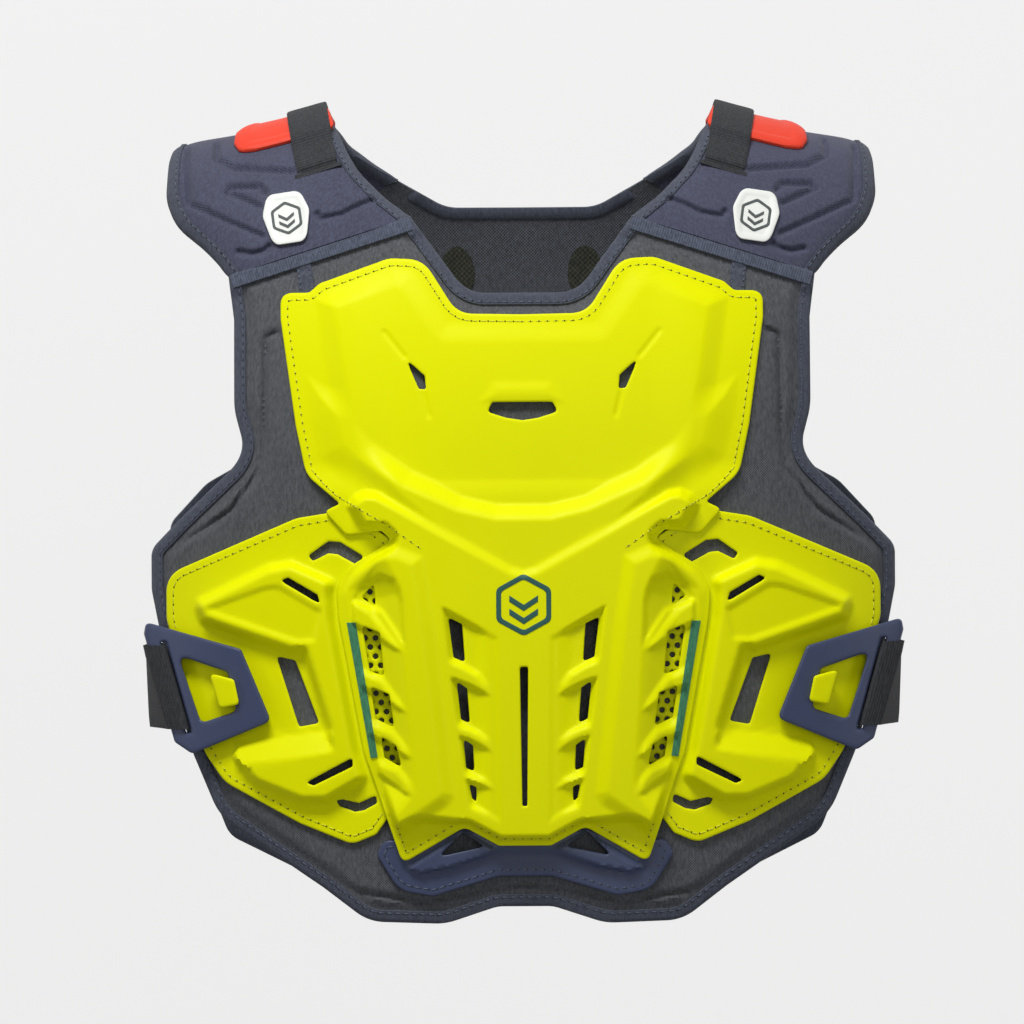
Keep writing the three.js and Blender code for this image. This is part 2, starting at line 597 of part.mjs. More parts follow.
// Furthest reach of an outline to the right at a height
function reachAt(corners, z) {
  const crossings = corners.map((a, i) => {
    const b = corners[(i + 1) % corners.length];
    const share = (z - a.z) / (b.z - a.z);
    return share >= 0 && share <= 1 ? mix(a.x, b.x, share) : -Infinity;
  });
  return Math.max(...crossings);
}

// Elastic strap: from its hem behind the ring's rail, through the slot, round the rail and
// back along the wearer's side to where it is sewn on the back panel
function sideStrap() {
  const half = sideStrapWall / 2;
  const near = half + joint;
  const behind = flange + seat + half;
  const over = ringUnder + ringWall + seat + half;
  const panel = place(backOutline, backFrame, false);
  const route = (share) => {
    const { x, z } = slotMiddle(mix(strapEnds.foot, strapEnds.top, share));
    const rail = reachAt(ringCorners(), z);
    const back = reachAt(panel, z);
    const point = (at, y) => new THREE.Vector3(at, y, z);
    const front = (at, lift) => point(at, formY(at, z, lift, -1));
    const railY = formY(rail, z, ringUnder + ringWall, -1);
    const backY = formY(back, z, 0, 1);
    const onBack = (inwards) => point(back - inwards, formY(back - inwards, z, seat + half, 1));
    const bulge = panelHalfWidth + sideStrapBulge - half;
    const outside = mix(rail, bulge, 0.6);
    return [
      front(mix(x, rail, 0.8), behind), front(x + near, behind), front(x, ringUnder),
      front(x, ringUnder + ringWall), front(x + slotWidth / 2, over), front(rail - 2 * near, over),
      point(rail + near / 2, railY - near), point(rail + near + joint, railY + near),
      point(rail + 2 * near, railY + 2 * ringWall), point(outside, mix(railY, backY, 0.3)),
      point(bulge, mix(railY, backY, 0.5)), point(mix(bulge, back, 0.6), mix(railY, backY, 0.85)),
      point(back + near + joint, backY - 2 * near), point(back + near, backY + near),
      onBack(2 * near), onBack(sideStrapSewn / 2), onBack(sideStrapSewn),
    ];
  };
  const columns = route(0).length - 1;
  return bentBox(columns, 2, (u, v, w) => {
    const points = route(v);
    const i = Math.round(u * columns);
    const along = points[Math.min(i + 1, columns)].clone().sub(points[Math.max(i - 1, 0)]);
    const outwards = new THREE.Vector3(along.y, -along.x, 0).normalize();
    return points[i].clone().addScaledVector(outwards, w === 0 ? half : -half);
  });
}

function tailShell() {
  const outer = paintedHeight(level(flange), tailAreas, tailFrame, true);
  const right = tailVents.map((vent) => place(vent, tailFrame, false));
  const vents = [...right, ...right.map((vent) => vent.map((point) => ({ ...point, x: -point.x })))];
  return layer(place(tailOutline, tailFrame, true),
    { step: shellStep, outer, inner: (x, z) => outer(x, z) - shellWall, vents });
}

function backShell() {
  const outer = paintedHeight(level(flange), backShellAreas, backShellFrame, true);
  return layer(place(backShellOutline, backShellFrame, true),
    { side: 1, step: panelStep, outer, inner: (x, z) => outer(x, z) - shellWall });
}

const group = new THREE.Group();

// Pieces across the middle plane
const middlePieces = [
  ['front_panel', frontPanel, finishes.panel],
  ['back_panel', backPanel, finishes.panel],
  ['centre_shell', centreShell, finishes.shell],
  ['tail_shell', tailShell, finishes.navy],
  ['back_shell', backShell, finishes.shell],
];
for (const [name, make, material] of middlePieces) group.add(toMesh(name, make(), material));

// Pieces of each side, made on the right
const sidePieces = [
  ['shoulder_pad', shoulderPad, finishes.pad],
  ['seam_tape', seamTape, finishes.tape],
  ['shoulder_strap', shoulderStrap, finishes.webbing],
  ['strap_tab', strapTab, finishes.red],
  ['shoulder_badge', shoulderBadge, finishes.white],
  ['side_shell', sideShell, finishes.shell],
  ['strap_ring', strapRing, finishes.navy],
  ['side_strap', sideStrap, finishes.webbing],
];
for (const [name, make, material] of sidePieces) {
  const right = make();
  group.add(toMesh(`${name}_right`, right, material));
  group.add(toMesh(`${name}_left`, mirrored(right), material));
}

export default group;
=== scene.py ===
# %% [markdown]
# # A junior roost deflector
# This is a padded vest for young off-road riders. Two foam panels hang from two shoulder
# pads, moulded shells are sewn on the panels, and elastic straps close the sides. Blender
# could sculpt all that, but the real makers press flat sheets over one curved form, so the
# script does the same: it draws each layer flat, seen from the front, and lays it on a form.

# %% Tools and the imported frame
import json
import math

import bpy
import numpy as np
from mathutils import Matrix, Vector
from mathutils.geometry import delaunay_2d_cdt

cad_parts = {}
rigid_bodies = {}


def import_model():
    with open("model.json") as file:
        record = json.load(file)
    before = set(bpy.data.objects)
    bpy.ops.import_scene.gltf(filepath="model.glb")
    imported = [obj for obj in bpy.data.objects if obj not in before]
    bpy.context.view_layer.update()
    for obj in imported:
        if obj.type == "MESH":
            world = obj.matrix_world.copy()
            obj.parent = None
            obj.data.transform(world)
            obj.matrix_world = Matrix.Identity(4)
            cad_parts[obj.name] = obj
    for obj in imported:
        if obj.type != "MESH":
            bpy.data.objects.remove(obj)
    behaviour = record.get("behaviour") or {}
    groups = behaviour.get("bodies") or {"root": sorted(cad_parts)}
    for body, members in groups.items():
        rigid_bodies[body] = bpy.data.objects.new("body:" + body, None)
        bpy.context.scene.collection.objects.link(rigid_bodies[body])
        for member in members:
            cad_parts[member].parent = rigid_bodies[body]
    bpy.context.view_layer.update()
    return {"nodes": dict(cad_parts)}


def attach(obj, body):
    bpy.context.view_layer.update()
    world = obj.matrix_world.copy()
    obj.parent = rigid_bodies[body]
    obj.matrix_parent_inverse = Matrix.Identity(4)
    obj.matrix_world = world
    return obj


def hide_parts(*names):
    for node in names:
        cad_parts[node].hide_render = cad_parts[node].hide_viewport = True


for thing in list(bpy.data.objects):
    bpy.data.objects.remove(thing)
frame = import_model()
MM = 0.001

# %% [markdown]
# ## The form under every layer
# A child's trunk is close to a squared ellipse, seen from above and from the side. One
# formula gives the depth of the chest or the back at any point of the front view, lifted by
# a height over the panels' faces. Every piece uses it, so no layer can cut into the next.

# %% The form, in millimetres
CHEST_DEPTH, BACK_DEPTH, CHEST_DROP = 110.0, 104.0, 190.0
PANEL_HALF, PANEL_DROP, FOAM = 186.0, 391.0, 7.0
BACK_HALF = PANEL_HALF - 6
FORM_HALF, FORM_POWER, HEM_TUCK = PANEL_HALF + 26, 2.2, 0.05
REST_X, SHOULDER_SLOPE, SHOULDER_RADIUS, NECK_ROUND = 125.5, 0.234, 312.0, 30.0
FRONT, BACK = -1, 1


def mix(a, b, share):
    return a + (b - a) * share


def smooth(value):
    t = np.clip(value, 0, 1)
    return t * t * (3 - 2 * t)


def firm(value):
    """A straighter slope than smooth, with crisper ends."""
    return 0.5 * np.clip(value, 0, 1) + 0.5 * smooth(value)


def round_off(share):
    return np.maximum(0, 1 - np.abs(share) ** FORM_POWER) ** (1 / FORM_POWER)


def crest_height(x):
    out = np.hypot(x, NECK_ROUND) - math.hypot(REST_X, NECK_ROUND)
    return FOAM - SHOULDER_SLOPE * out + out**2 / (2 * SHOULDER_RADIUS)


def form_y(x, z, lift, side=FRONT):
    """Depth of the form at x, z of the front view, lifted off the panels' faces."""
    depth = (CHEST_DEPTH if side == FRONT else BACK_DEPTH) + lift
    above = z + CHEST_DROP
    up = round_off(np.maximum(above, 0) / (crest_height(x) + lift + CHEST_DROP))
    down = 1 - HEM_TUCK * (np.minimum(above, 0) / (PANEL_DROP - CHEST_DROP)) ** 2
    return side * depth * round_off(x / (FORM_HALF + lift)) * up * down


def on_form(x, z, lift, side=FRONT):
    """Points in metres on the form, one row each."""
    x, z, lift = np.broadcast_arrays(np.asarray(x, float), z, lift)
    return np.stack([x, form_y(x, z, lift, side), z], -1) * MM


print("chest depth at the middle of the hem:", round(float(form_y(0, -PANEL_DROP, 0)), 1))

# %% [markdown]
# ## Outlines
# A pattern cutter draws a sheet by its corners and rounds them. The same works here: a
# corner is x, z and a radius in millimetres, and a symmetric piece gives its right half only.

# %% Outlines from corners
def flipped(corners):
    return [(-x, *rest) for x, *rest in corners]


def mirrored(corners):
    return [*corners, *flipped(corner for corner in reversed(corners) if corner[0] > 0)]


def from_left(*pixels):
    """Places on the right half, from pixels of the photo's left half."""
    return [((523 - px) / 2, (138 - py) / 2) for px, py in pixels]


def anticlockwise(points):
    x, z = points[:, 0], points[:, 1]
    area = np.sum(x * np.roll(z, -1) - np.roll(x, -1) * z)
    return points if area > 0 else points[::-1]


def outline(corners, spacing=1.5):
    """Closed line through the rounded corners, with points about spacing apart."""
    points = np.array([corner[:2] for corner in corners], float)
    radii = [corner[2] if len(corner) > 2 else 0 for corner in corners]
    line = []
    for i, here in enumerate(points):
        edges = [points[i - 1] - here, points[(i + 1) % len(points)] - here]
        lengths = [np.linalg.norm(edge) for edge in edges]
        turn = math.acos(np.clip(np.dot(*edges) / (lengths[0] * lengths[1]), -1, 1))
        reach = radii[i] / math.tan(turn / 2) if radii[i] else 0
        ends = [here + e * min(reach, 0.45 * n) / n for e, n in zip(edges, lengths)]
        steps = 0 if radii[i] == 0 else max(3, int(2 * radii[i] / spacing))
        for t in np.linspace(0, 1, steps + 1) if steps else [0.0]:
            line.append(ends[0] * (1 - t) ** 2 + here * 2 * t * (1 - t) + ends[1] * t**2)
    line = np.array(line)
    apart = np.linalg.norm(line - np.roll(line, 1, 0), axis=1) > 0.05
    return anticlockwise(evenly(line[apart], spacing))


def evenly(line, spacing, closed=True):
    """Same line with long stretches cut into steps of about spacing."""
    following = np.roll(line, -1, 0) if closed else line[1:]
    out = []
    for a, b in zip(line, following):
        steps = max(1, int(round(np.linalg.norm(b - a) / spacing)))
        out += [mix(a, b, k / steps) for k in range(steps)]
    return np.array(out if closed else [*out, line[-1]])


def inwards(loop):
    """Unit vectors to the left of a loop's way, at its points."""
    ahead, behind = np.roll(loop, -1, 0) - loop, loop - np.roll(loop, 1, 0)
    ways = [v / np.maximum(np.linalg.norm(v, axis=1, keepdims=True), 1e-9) for v in (ahead, behind)]
    way = ways[0] + ways[1]
    way /= np.maximum(np.linalg.norm(way, axis=1, keepdims=True), 1e-9)
    spread = np.maximum(0.5, np.sum(way * ways[0], axis=1, keepdims=True))
    return np.stack([-way[:, 1], way[:, 0]], 1) / spread


def line_distance(x, z, line, closed=False):
    """Distance of points from a line of corners."""
    line = np.asarray(line, float)[:, :2]
    pairs = zip(line, np.roll(line, -1, 0)) if closed else zip(line[:-1], line[1:])
    nearest = np.full(np.shape(x), 1e9)
    for a, b in pairs:
        edge = b - a
        share = ((x - a[0]) * edge[0] + (z - a[1]) * edge[1]) / max(edge @ edge, 1e-9)
        share = np.clip(share, 0, 1)
        away = np.hypot(x - a[0] - share * edge[0], z - a[1] - share * edge[1])
        nearest = np.minimum(nearest, away)
    return nearest


def depth_inside(x, z, corners):
    """Distance of points from a closed line, positive inside it."""
    line = np.asarray([corner[:2] for corner in corners], float)
    inside = np.zeros(np.shape(x), bool)
    for a, b in zip(line, np.roll(line, -1, 0)):
        if a[1] == b[1]:
            continue
        level = (a[1] > z) != (b[1] > z)
        inside ^= level & (x < a[0] + (b[0] - a[0]) * (z - a[1]) / (b[1] - a[1]))
    return np.where(inside, 1, -1) * line_distance(x, z, line, closed=True)


# %% [markdown]
# ## From a flat sheet to a mesh
# A moulded sheet is a flat drawing with holes, a height over the form at each point, and a
# rounded rim. Blender's grid could be cut with booleans, but they leave ragged shading. Here
# the rim is a few neat rings round each edge, and a constrained Delaunay mesh fills the rest,
# so that every hole and corner has edges of its own.

# %% Meshes from flat sheets
TRIANGLE_HEIGHT = 0.866


def in_scene(name, data):
    """A new object in the scene, for a mesh, a light or a camera."""
    thing = bpy.data.objects.new(name, data)
    bpy.context.scene.collection.objects.link(thing)
    return thing


def new_piece(name, points, faces):
    mesh = bpy.data.meshes.new(name)
    mesh.from_pydata(np.asarray(points).tolist(), [], [tuple(face) for face in faces])
    mesh.polygons.foreach_set("use_smooth", np.ones(len(mesh.polygons), bool))
    mesh.set_sharp_from_angle(angle=math.radians(50))
    mesh.update()
    return in_scene(name, mesh)


def fill_flat(loops, spacing):
    """Triangles inside the first loop and outside the others: points, triangles."""
    low, high = loops[0].min(0), loops[0].max(0)
    clear = 0.55 * spacing
    xs = np.arange(low[0] + spacing / 2, high[0], spacing)
    zs = np.arange(low[1] + spacing / 2, high[1], spacing * TRIANGLE_HEIGHT)
    grid_x, grid_z = np.meshgrid(xs, zs)
    grid_x = grid_x + (np.arange(len(zs)) % 2)[:, None] * spacing / 2
    grid = np.stack([grid_x.ravel(), grid_z.ravel()], 1)
    keep = depth_inside(grid[:, 0], grid[:, 1], loops[0]) > clear
    for hole in loops[1:]:
        near = np.all((grid > hole.min(0) - spacing) & (grid < hole.max(0) + spacing), axis=1)
        near &= keep
        keep[near] = depth_inside(grid[near, 0], grid[near, 1], hole) < -clear
    edge_points = np.concatenate(loops)
    points = np.concatenate([edge_points, grid[keep]])
    edges, start = [], 0
    for loop in loops:
        n = len(loop)
        edges += [(start + i, start + (i + 1) % n) for i in range(n)]
        start += n
    flat, _, faces, origin, *_ = delaunay_2d_cdt([Vector(p) for p in points], edges, [], 1, 1e-7)
    flat = np.array([tuple(p) for p in flat])
    if len(flat) != len(points):
        odd = [tuple(p) for p, source in zip(flat, origin) if len(source) != 1]
        raise ValueError(f"an outline crosses itself or a hole near {odd[:6]}")
    faces = np.array(faces)
    middle = flat[faces].mean(1)
    inside = depth_inside(middle[:, 0], middle[:, 1], loops[0]) > 0
    for hole in loops[1:]:
        near = np.all((middle > hole.min(0)) & (middle < hole.max(0)), axis=1) & inside
        inside[near] = depth_inside(middle[near, 0], middle[near, 1], hole) < 0
    faces = faces[inside]
    a, b, c = (flat[faces[:, i]] for i in range(3))
    ab, ac = b - a, c - a
    clockwise = ab[:, 0] * ac[:, 1] - ab[:, 1] * ac[:, 0] < 0
    faces[clockwise] = faces[clockwise][:, ::-1]
    return flat, faces


def sheet_mesh(name, corners, top, wall, side=FRONT, holes=(), rim=0.8, spacing=1.6, under=None):
    """Closed sheet: top(x, z) is its outer height, wall its thickness, rim its edge radius."""
    loops = [outline(corners, spacing)]
    loops += [outline(hole, min(spacing, 1.2))[::-1] for hole in holes]
    normals = [inwards(loop) for loop in loops]
    under = under or (lambda x, z: top(x, z) - wall)
    arc = [(rim * (1 - math.sin(a)), rim * (1 - math.cos(a))) for a in np.radians([30, 60, 90])]
    inner = [loop + normal * rim for loop, normal in zip(loops, normals)]
    flat, faces = fill_flat(inner, spacing)
    points = [on_form(flat[:, 0], flat[:, 1], top(*flat.T), side),
              on_form(flat[:, 0], flat[:, 1], under(*flat.T), side)]
    count = len(flat)
    all_faces = [*faces, *(faces[:, ::-1] + count)]
    ring_start, start = 2 * count, 0
    for loop, normal in zip(loops, normals):
        n = len(loop)
        names = [np.arange(start, start + n)]
        for inset, drop in arc:
            x, z = (loop + normal * inset).T
            points.append(on_form(x, z, top(x, z) - drop, side))
            names.append(np.arange(ring_start, ring_start + n))
            ring_start += n
        x, z = loop.T
        points.append(on_form(x, z, np.minimum(under(x, z), top(x, z) - rim), side))
        names.append(np.arange(ring_start, ring_start + n))
        ring_start += n
        names.append(np.arange(count + start, count + start + n))
        for a, b in zip(names[:-1], names[1:]):
            all_faces += list(np.stack([a, b, np.roll(b, -1), np.roll(a, -1)], 1))
        start += n
    if side == BACK:
        all_faces = [face[::-1] for face in all_faces]
    return new_piece(name, np.concatenate(points), all_faces)


def flat_at(height):
    """A height over the form that is the same everywhere."""
    return lambda x, z: height + 0 * x


def maker(corners, top, wall, **settings):
    """Maker of a sheet that only lacks its name."""
    return lambda name: sheet_mesh(name, corners, top, wall, **settings)


def face_outwards(piece):
    """Turns a closed mesh's faces out, by the sign of its volume."""
    mesh = piece.data
    mesh.calc_loop_triangles()
    co = np.array([v.co for v in mesh.vertices])
    tri = np.array([t.vertices[:] for t in mesh.loop_triangles])
    a, b, c = co[tri[:, 0]], co[tri[:, 1]], co[tri[:, 2]]
    if np.sum(np.cross(a, b) * c) < 0:
        mesh.flip_normals()


print("sheet tools ready")

# %% [markdown]
# ## Materials
# Each finish is one Principled shader with a little procedural detail: a weave drawn from the
# flat sheet's own millimetres, or the faint grain of a mould. A small class lets the node
# maths be written as plain arithmetic, so a weave reads as the formula that it is.

# %% Shader maths with plain operators
class Wire:
    """A shader socket that can be added and multiplied."""

    def __init__(self, tree, socket=None):
        self.tree, self.socket = tree, socket

    def node(self, kind, settings, values, output=0):
        node = self.tree.nodes.new(kind)
        for key, setting in settings.items():
            setattr(node, key, setting)
        for key, value in values.items():
            if isinstance(value, Wire):
                self.tree.links.new(value.socket, node.inputs[key])
            else:
                node.inputs[key].default_value = value
        return Wire(self.tree, node.outputs[output])

    def math(self, operation, other=0.0, first=None):
        values = {0: self if first is None else first, 1: other if first is None else self}
        return self.node("ShaderNodeMath", {"operation": operation}, values)

    def __add__(self, other):
        return self.math("ADD", other)

    def __sub__(self, other):
        return self.math("SUBTRACT", other)

    def __rsub__(self, other):
        return self.math("SUBTRACT", first=other)

    def __mul__(self, other):
        return self.math("MULTIPLY", other)

    __radd__, __rmul__ = __add__, __mul__

    def colours(self, dark, light):
        values = {"Factor": self, 6: colour(dark), 7: colour(light)}
        return self.node("ShaderNodeMix", {"data_type": "RGBA"}, values, output=2)


def colour(code):
    """Linear colour with alpha from a six-digit screen colour."""
    parts = [int(code[i:i + 2], 16) / 255 for i in (0, 2, 4)]
    return (*[c / 12.92 if c < 0.04 else ((c + 0.055) / 1.055) ** 2.4 for c in parts], 1)


def new_material(name, code, roughness, **constants):
    """A material and the wire of its shader's tree."""
    material = bpy.data.materials.new(name)
    material.use_nodes = True
    shader = material.node_tree.nodes["Principled BSDF"]
    shader.inputs["Base Color"].default_value = colour(code)
    shader.inputs["Roughness"].default_value = roughness
    for key, value in constants.items():
        shader.inputs[key.replace("_", " ")].default_value = value
    return material, shader, Wire(material.node_tree)


def connect(shader, tree, **wires):
    for key, wire in wires.items():
        tree.tree.links.new(wire.socket, shader.inputs[key.replace("_", " ")])


def bumped(tree, height, strength, depth_mm):
    values = {"Strength": strength, "Distance": depth_mm * MM, "Height": height}
    return tree.node("ShaderNodeBump", {}, values)


def flat_place(tree):
    """The two flat coordinates of a sheet in millimetres."""
    uv = tree.node("ShaderNodeUVMap", {"uv_map": "flat"}, {})
    split = {"Vector": uv}
    return (tree.node("ShaderNodeSeparateXYZ", {}, split),
            tree.node("ShaderNodeSeparateXYZ", {}, split, output=1))


def noise(tree, scale, detail=2.0, stretch=None):
    """Noise over the object's own coordinates, in bumps per metre."""
    place = tree.node("ShaderNodeTexCoord", {}, {}, output=3)
    if stretch:
        place = tree.node("ShaderNodeMapping", {}, {"Vector": place, "Scale": stretch})
    return tree.node("ShaderNodeTexNoise", {}, {"Vector": place, "Scale": scale, "Detail": detail})


def woven(name, dark, light, pitch, roughness=0.9, ribs=False, sheen=0.25):
    """Cloth: threads of one pitch both ways, or ribs across, with a mottled yarn."""
    material, shader, tree = new_material(name, dark, roughness, Sheen_Weight=sheen)
    u, v = flat_place(tree)
    turn = 2 * math.pi / pitch
    across = (u * turn).math("SINE")
    along = (v * turn).math("SINE")
    threads = across * 0.15 + along if ribs else across * along
    yarn = noise(tree, 900, 3.0, (1, 1, 0.35)) * 1.6 - 0.3 + threads * 0.12
    broad = noise(tree, 40) * 0.3 - 0.15
    shade = (yarn + broad).math("MINIMUM", 1.0).math("MAXIMUM", 0.0)
    connect(shader, tree, Base_Color=shade.colours(dark, light),
            Normal=bumped(tree, threads + yarn * 0.5, 0.5, 0.25))
    return material


def moulded(name, code, shade_code, roughness, grain=0.25, shine=0.3):
    """Moulded plastic: fine grain in its normal, a slow drift in colour and gloss."""
    material, shader, tree = new_material(name, code, roughness)
    drift = noise(tree, 14, 3.0)
    shader.inputs["Specular IOR Level"].default_value = shine
    shade = (drift * 0.7 + 0.45).math("MINIMUM", 1.0)
    connect(shader, tree, Base_Color=shade.colours(shade_code, code),
            Roughness=noise(tree, 160, 3.0) * 0.16 + (roughness - 0.08),
            Normal=bumped(tree, noise(tree, 1400, 2.0), grain, 0.12))
    return material


# %% [markdown]
# ## The finishes
# The record names a slot for each kind of material, and each slot gets one finish. The cloths,
# threads and prints after them have no slot of their own: a piece that wears one of them is
# passed, unused, the slot of the CAD node that it stands for, or of what it is sewn to or printed
# on.

# %% Finishes by their record slots
finishes = {
    "panel_fabric": woven("panel_cloth", "3A3C41", "626469", 1.3, sheen=0.05),
    "pad_fabric": woven("pad_cloth", "33354A", "4E5168", 1.2, roughness=0.8, sheen=0.12),
    "woven_tape": woven("edge_tape", "363A47", "545A69", 1.0, sheen=0.08),
    "webbing": woven("elastic_webbing", "1C1D20", "3A3C40", 1.6, ribs=True, sheen=0.03),
    "shell_plastic": moulded("yellow_shell", "ECF000", "E2E600", 0.42, shine=0.08),
    "navy_plastic": moulded("navy_shell", "424B6A", "394260", 0.38, shine=0.45),
    "tab_rubber": moulded("red_tab", "E8432A", "D93A22", 0.55),
    "badge_rubber": moulded("white_badge", "EDEFEA", "DDE0DA", 0.5),
}
ribbed_cloth = woven("ribbed_cloth", "343947", "5A6174", 1.3, ribs=True, sheen=0.08)
thread_yellow = moulded("yellow_thread", "DDE03C", "B4B728", 0.8)
thread_grey = moulded("grey_thread", "666E80", "4A5060", 0.85)
# Painted shade: short dark rods that stand for the shade in the needle holes between stitches.
needle_hole_shade = moulded("needle_hole_shade", "4A4B12", "33340E", 0.9)
green_print = moulded("green_print", "2F5F58", "28544E", 0.5)
grey_print = moulded("grey_print", "555B5A", "4A504F", 0.6)
green_cloth = woven("green_cloth", "2F6E4F", "4F9A74", 1.0, sheen=0.1)
open_mesh = woven("open_mesh", "181A13", "45483A", 2.6, sheen=0.0)
lining = woven("lining_cloth", "3A3C41", "5C6067", 1.6, sheen=0.05)
print("materials:", ", ".join(sorted(m.name for m in bpy.data.materials)))

# %% [markdown]
# ## Dressing a piece
# Cloth is woven flat, so its pattern should follow the arc of the form, not its shadow. The
# two tables below turn a place in the front view into millimetres along the curved surface.

# %% Flat coordinates and the frame's bookkeeping
arc_x = np.linspace(0, 205, 206)
step_y = np.diff(form_y(arc_x, -CHEST_DROP, 0))
arc_u = np.concatenate([[0], np.cumsum(np.hypot(np.diff(arc_x), step_y))])


def write_flat(mesh, flat):
    """Stores the vertices' flat coordinates, in millimetres, as the UV map named flat."""
    corner = np.empty(len(mesh.loops), np.int32)
    mesh.loops.foreach_get("vertex_index", corner)
    layer = mesh.uv_layers.new(name="flat")
    layer.data.foreach_set("uv", flat[corner].astype(np.float32).ravel())


def flat_uv(piece):
    """Flat coordinates of a sheet on the form: the arc from the middle, and the height."""
    co = np.array([v.co for v in piece.data.vertices]) / MM
    u = np.sign(co[:, 0]) * np.interp(np.abs(co[:, 0]), arc_x, arc_u)
    write_flat(piece.data, np.stack([u, co[:, 2]], 1))


def dress(piece, slot, material=None, nodes=()):
    """Gives a piece its finish, by its slot unless a material is given, hangs it on the root body
    and hides the CAD nodes that it stands for.
    """
    if "flat" not in piece.data.uv_layers:
        flat_uv(piece)
    piece.data.materials.clear()
    piece.data.materials.append(material or finishes[slot])
    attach(piece, "root")
    if nodes:
        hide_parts(*nodes)
    return piece


def twin(piece, name):
    """The same piece on the other side of the middle plane."""
    mesh = piece.data.copy()
    co = np.empty(len(mesh.vertices) * 3)
    mesh.vertices.foreach_get("co", co)
    co[0::3] *= -1
    mesh.vertices.foreach_set("co", co)
    mesh.flip_normals()
    mesh.update()
    return in_scene(name, mesh)


SIDES = ("right", "left")


def pair(make, name, slot, nodes=None, material=None):
    """Makes the right piece, and its twin on the left."""
    right = make(name + "_right")
    left = twin(right, name + "_left")
    for piece, side in zip((right, left), SIDES):
        dress(piece, slot, material, [f"{node}_{side}" for node in nodes or []])
    return right, left


def place(table, x, width, top, height):
    """Corners in millimetres from shares of a piece's own width and height."""
    return [(x + u * width, -top - v * height, *[r * width for r in rest]) for u, v, *rest in table]


def painted(base, areas):
    """Height over the form: each area in turn sets its own, over a slope inside its edge."""
    def height(x, z):
        level = base(x, z) + 0 * x
        for value, slope, corners in areas:
            target = value(x, z, level) if callable(value) else value
            level = mix(level, target, firm(depth_inside(x, z, corners) / slope))
        return level
    return height


def louver(rise, limit, width, top_edge):
    """Height of a slat that stands out more and more below its top edge, up to a limit."""
    def height(x, z, level):
        share = np.clip(line_distance(np.abs(x), z, top_edge) / width, 0, 1)
        return level + np.clip(limit - level, 0, rise) * share
    return height


print("pieces stand for", len(frame["nodes"]), "CAD nodes")

# %% [markdown]
# ## Stitches
# Every shell is sewn on through its rim. One Geometry Nodes tree lays a row: it walks each
# line in equal steps and sets one small rod per step. The same tree paints the shade in the
# needle holes: a short, dark rod, half a step further on.

# %% A tree that sews along lines
def sewing_tree():
    tree = bpy.data.node_groups.new("sewn_row", "GeometryNodeTree")
    face = tree.interface
    face.new_socket("Geometry", in_out="INPUT", socket_type="NodeSocketGeometry")
    for name in ("Pitch", "Length", "Thickness", "Start"):
        face.new_socket(name, in_out="INPUT", socket_type="NodeSocketFloat")
    face.new_socket("Thread", in_out="INPUT", socket_type="NodeSocketMaterial")
    face.new_socket("Geometry", in_out="OUTPUT", socket_type="NodeSocketGeometry")
    nodes = tree.nodes
    inputs, outputs = nodes.new("NodeGroupInput"), nodes.new("NodeGroupOutput")
    to_curve = nodes.new("GeometryNodeMeshToCurve")
    trim = nodes.new("GeometryNodeTrimCurve")
    trim.mode = "LENGTH"
    to_points = nodes.new("GeometryNodeCurveToPoints")
    to_points.mode = "LENGTH"
    rod = nodes.new("GeometryNodeMeshUVSphere")
    rod.inputs["Segments"].default_value = 8
    rod.inputs["Rings"].default_value = 6
    rod.inputs["Radius"].default_value = 0.5
    size = nodes.new("ShaderNodeCombineXYZ")
    instances = nodes.new("GeometryNodeInstanceOnPoints")
    real = nodes.new("GeometryNodeRealizeInstances")
    paint = nodes.new("GeometryNodeSetMaterial")
    trim.inputs[5].default_value = 10.0
    for source, output, target, entry in (
            (inputs, "Geometry", to_curve, "Mesh"), (to_curve, "Curve", trim, "Curve"),
            (inputs, "Start", trim, 4), (trim, "Curve", to_points, "Curve"),
            (inputs, "Pitch", to_points, "Length"), (to_points, "Points", instances, "Points"),
            (to_points, "Rotation", instances, "Rotation"), (rod, "Mesh", instances, "Instance"),
            (inputs, "Thickness", size, "X"), (inputs, "Thickness", size, "Y"),
            (inputs, "Length", size, "Z"), (size, "Vector", instances, "Scale"),
            (instances, "Instances", real, "Geometry"), (real, "Geometry", paint, "Geometry"),
            (inputs, "Thread", paint, "Material"), (paint, "Geometry", outputs, "Geometry")):
        tree.links.new(source.outputs[output], target.inputs[entry])
    return tree


sewing = sewing_tree()


def sewn_rows(name, lines, slot, thread, pitch=3.6, length=2.5, thickness=0.6, start=0.0):
    """Stitches along lines of points in metres, as one plain mesh."""
    points, edges = [], []
    for line in lines:
        first = len(points)
        points += [tuple(p) for p in line]
        edges += [(first + i, first + i + 1) for i in range(len(line) - 1)]
    mesh = bpy.data.meshes.new(name)
    mesh.from_pydata(points, edges, [])
    row = in_scene(name, mesh)
    modifier = row.modifiers.new("sew", "NODES")
    modifier.node_group = sewing
    chosen = {"Pitch": pitch * MM, "Length": length * MM, "Thickness": thickness * MM,
              "Start": start * MM, "Thread": thread}
    for item in sewing.interface.items_tree:
        if item.in_out == "INPUT" and item.name in chosen:
            modifier[item.identifier] = chosen[item.name]
    row.update_tag()
    sewn = row.evaluated_get(bpy.context.evaluated_depsgraph_get())
    plain = bpy.data.meshes.new_from_object(sewn)
    row.modifiers.clear()
    row.data = plain
    plain.name = name
    plain.polygons.foreach_set("use_smooth", np.ones(len(plain.polygons), bool))
    return dress(row, slot, thread)


def sew(name, lines, slot, thread, pitch=4.2, hole=needle_hole_shade):
    """A row of stitches, and short dark rods between them as painted shade in the needle holes."""
    sewn_rows(name, lines, slot, thread, pitch, length=0.68 * pitch)
    sewn_rows(name + "_holes", lines, slot, hole, pitch, length=0.9, thickness=0.8, start=pitch / 2)


